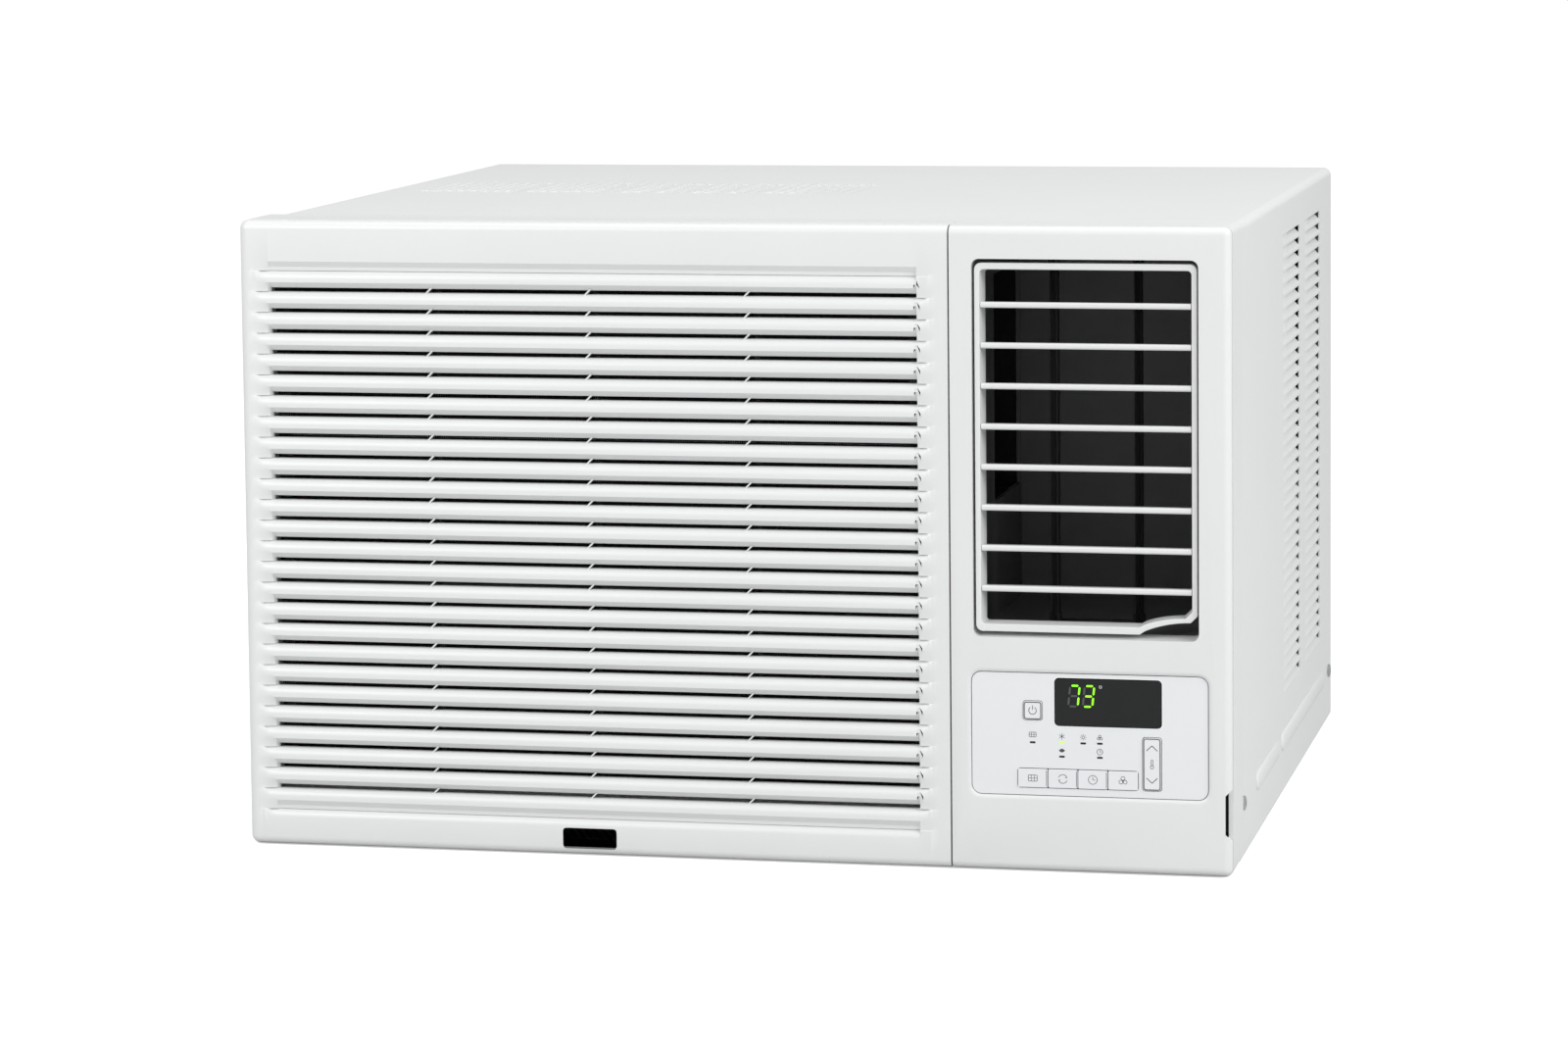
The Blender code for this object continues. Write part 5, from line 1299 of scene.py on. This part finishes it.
    def add_beads(self):
        """Long stiffening beads along the foot of each side."""
        outer = corners("outer_case")[1].x
        bm = bmesh.new()
        for side in (-1, 1):
            for start, end in BEAD_SPANS:
                verts = bmesh.ops.create_uvsphere(bm, u_segments=20, v_segments=14, radius=6 * MM,
                                                  matrix=Matrix.Rotation(math.radians(90), 4, "X"))["verts"]
                for vert in verts:
                    stretch = (end - start) / 2 - 6 * MM
                    vert.co.y += math.copysign(stretch, vert.co.y) if abs(vert.co.y) > 1e-6 else 0
                    vert.co.x *= 0.28
                bmesh.ops.translate(bm, verts=verts, vec=(side * outer, (start + end) / 2, BEAD_HEIGHT))
        as_piece("side_beads", bm, "coated_steel", "chassis", angle=60)


class WINDOWUNIT_OT_screws(UnitOperator, bpy.types.Operator):
    """Build the four pan-head case screws with their cross recesses."""

    bl_idname = "window_unit.screws"
    bl_label = "Case screws"

    def execute(self, context):
        for place in ("front_left", "front_right", "rear_left", "rear_right"):
            name = "case_screw_" + place
            low, high = corners(name)
            side = 1 if high.x > 0 else -1
            y, z = (low.y + high.y) / 2, (low.z + high.z) / 2
            outer = high.x if side > 0 else low.x
            radius = (high.y - low.y) / 2
            bm = bmesh.new()
            profile = [(0, 0), (radius * 0.55, 0.05 * MM), (radius * 0.85, 0.35 * MM), (radius, 0.9 * MM),
                       (radius, 1.45 * MM), (2.1 * MM, 1.45 * MM), (2.1 * MM, 7.5 * MM), (0, 9 * MM)]
            ring = [bm.verts.new((outer - side * depth, y, z + r)) for r, depth in profile]
            edges = [bm.edges.new(pair) for pair in zip(ring, ring[1:])]
            bmesh.ops.spin(bm, geom=ring + edges, cent=(outer, y, z), axis=(1, 0, 0), angle=2 * math.pi,
                           steps=32, use_merge=True)
            bmesh.ops.remove_doubles(bm, verts=bm.verts[:], dist=1e-7)
            cross = []
            for turn in (0, 90):
                wing = bmesh.new()
                verts = add_box(wing, (-1.3 * MM, -2.6 * MM, -0.45 * MM), (1.3 * MM, 2.6 * MM, 0.45 * MM))
                bmesh.ops.rotate(wing, verts=verts, cent=(0, 0, 0),
                                 matrix=Matrix.Rotation(math.radians(turn + 20), 3, "X"))
                bmesh.ops.translate(wing, verts=verts, vec=(outer, y, z))
                cross.append(wing)
            as_piece(name.replace("case_", ""), carve(bm, cross), "zinc_plate", "chassis", [name],
                     40)
        return {"FINISHED"}


# ---------------------------------------------------------------- inside
class WINDOWUNIT_OT_coils(UnitOperator, bpy.types.Operator):
    """Build the finned coils with their end plates and hairpin bends."""

    bl_idname = "window_unit.coils"
    bl_label = "Coils"

    def execute(self, context):
        for name, pitch in (("evaporator_coil", 1.5 * MM), ("condenser_coil", 1.7 * MM)):
            self.add_coil(name, pitch)
        return {"FINISHED"}

    def add_coil(self, name, pitch):
        low, high = corners(name)
        bend_room = 14 * MM
        edge = 1.5 * MM
        left = low.x + bend_room
        right = high.x
        fins = bmesh.new()
        for step in range(int((right - left - 5 * MM) / pitch)):
            x = left + 3 * MM + pitch * step
            add_box(fins, (x - 0.09 * MM, low.y + edge, low.z + edge),
                    (x + 0.09 * MM, high.y - edge, high.z - edge))
        as_piece(name + "_fins", fins, "fin", "chassis", [name], recalculate=False)

        plates = bmesh.new()
        for x in (left, right - 2.5 * MM):
            add_soft_box(plates, (x, low.y, low.z), (x + 1.2 * MM, high.y, high.z), 0.3 * MM, 1)
        as_piece(name + "_end_plates", plates, "galvanised", "chassis")

        tubes = bmesh.new()
        middle = (low.y + high.y) / 2
        reach = 12.5 * MM
        count = int((high.z - low.z - 2 * edge - 10 * MM) / 25 / MM)
        for row in range(count):
            z = low.z + edge + 15 * MM + 25 * MM * row
            for y in (middle - 11 * MM, middle + 11 * MM):
                add_rod(tubes, (left - 0.5 * MM, y, z), (right - 0.6 * MM, y, z), 3.4 * MM, 12)
        for row in range(0, count - 1, 2):
            z = low.z + edge + 15 * MM + 25 * MM * row
            for y in (middle - 11 * MM, middle + 11 * MM):
                ring = bmesh.ops.create_circle(tubes, cap_ends=True, segments=12, radius=3.4 * MM)["verts"]
                bmesh.ops.rotate(tubes, verts=ring, matrix=Matrix.Rotation(math.radians(90), 3, "Y"))
                bmesh.ops.translate(tubes, verts=ring, vec=(left, y, z))
                bmesh.ops.spin(tubes, geom=[ring[0].link_faces[0]], cent=(left, y, z + reach),
                               axis=(0, 1, 0), angle=math.pi, steps=10)
        self.keep_inside(tubes, low)
        as_piece(name + "_tubes", tubes, "copper", "chassis", angle=50)

    def keep_inside(self, bm, low):
        """Flatten any bend that would pass the coil's own box."""
        for vert in bm.verts:
            vert.co.x = max(vert.co.x, low.x)


class WINDOWUNIT_OT_machinery(UnitOperator, bpy.types.Operator):
    """Give the inner machinery its finishes."""

    bl_idname = "window_unit.machinery"
    bl_label = "Machinery"

    def execute(self, context):
        dress(["base_pan", "bulkhead", "control_box", "fan_motor", "motor_bracket", "run_capacitor"],
              "galvanised")
        dress(["blower_wheel", "condenser_fan", "room_sensor"], "black_abs")
        dress(["blower_scroll", "fan_shroud", "evaporator_tray"], "foam")
        dress(["compressor", "accumulator"], "enamel")
        dress(["discharge_pipe", "suction_pipe", "accumulator_pipe", "capillary_tube"], "copper")
        dress(["motor_shaft"] + [f"compressor_bolt_{n}" for n in (1, 2, 3)], "zinc_plate")
        dress(["drain_plug", "cord_gland"] + [f"compressor_grommet_{n}" for n in (1, 2, 3)], "rubber")
        dress(["control_board", "power_board"], "laminate")
        dress(["heater_element"], "mica")
        return {"FINISHED"}


# ---------------------------------------------------------------- add-on
class WINDOWUNIT_PT_panel(bpy.types.Panel):
    """Sidebar panel that lists every step."""

    bl_label = "Window Unit"
    bl_idname = "WINDOWUNIT_PT_panel"
    bl_space_type = "VIEW_3D"
    bl_region_type = "UI"
    bl_category = "Window Unit"

    def draw(self, context):
        for operator in OPERATORS:
            self.layout.operator(operator.bl_idname)
        for group in SETTINGS:
            settings = getattr(context.scene, group)
            for name in settings.bl_rna.properties.keys():
                if name not in ("rna_type", "name"):
                    self.layout.prop(settings, name)


OPERATORS = (
    WINDOWUNIT_OT_stage,
    WINDOWUNIT_OT_bezel,
    WINDOWUNIT_OT_grille,
    WINDOWUNIT_OT_badge,
    WINDOWUNIT_OT_filter,
    WINDOWUNIT_OT_outlet,
    WINDOWUNIT_OT_controls,
    WINDOWUNIT_OT_case,
    WINDOWUNIT_OT_screws,
    WINDOWUNIT_OT_coils,
    WINDOWUNIT_OT_machinery,
)
SETTINGS = {"window_unit_front": FrontSizes, "window_unit_case": CaseSizes,
            "window_unit_colours": FinishColours}
CLASSES = (*SETTINGS.values(), *OPERATORS, WINDOWUNIT_PT_panel)


def register():
    for item in CLASSES:
        bpy.utils.register_class(item)
    for name, group in SETTINGS.items():
        setattr(bpy.types.Scene, name, PointerProperty(type=group))


def unregister():
    for name in SETTINGS:
        delattr(bpy.types.Scene, name)
    for item in reversed(CLASSES):
        bpy.utils.unregister_class(item)


def main():
    register()
    for operator in OPERATORS:
        getattr(bpy.ops.window_unit, operator.bl_idname.split(".")[1])()


if __name__ == "__main__":
    main()
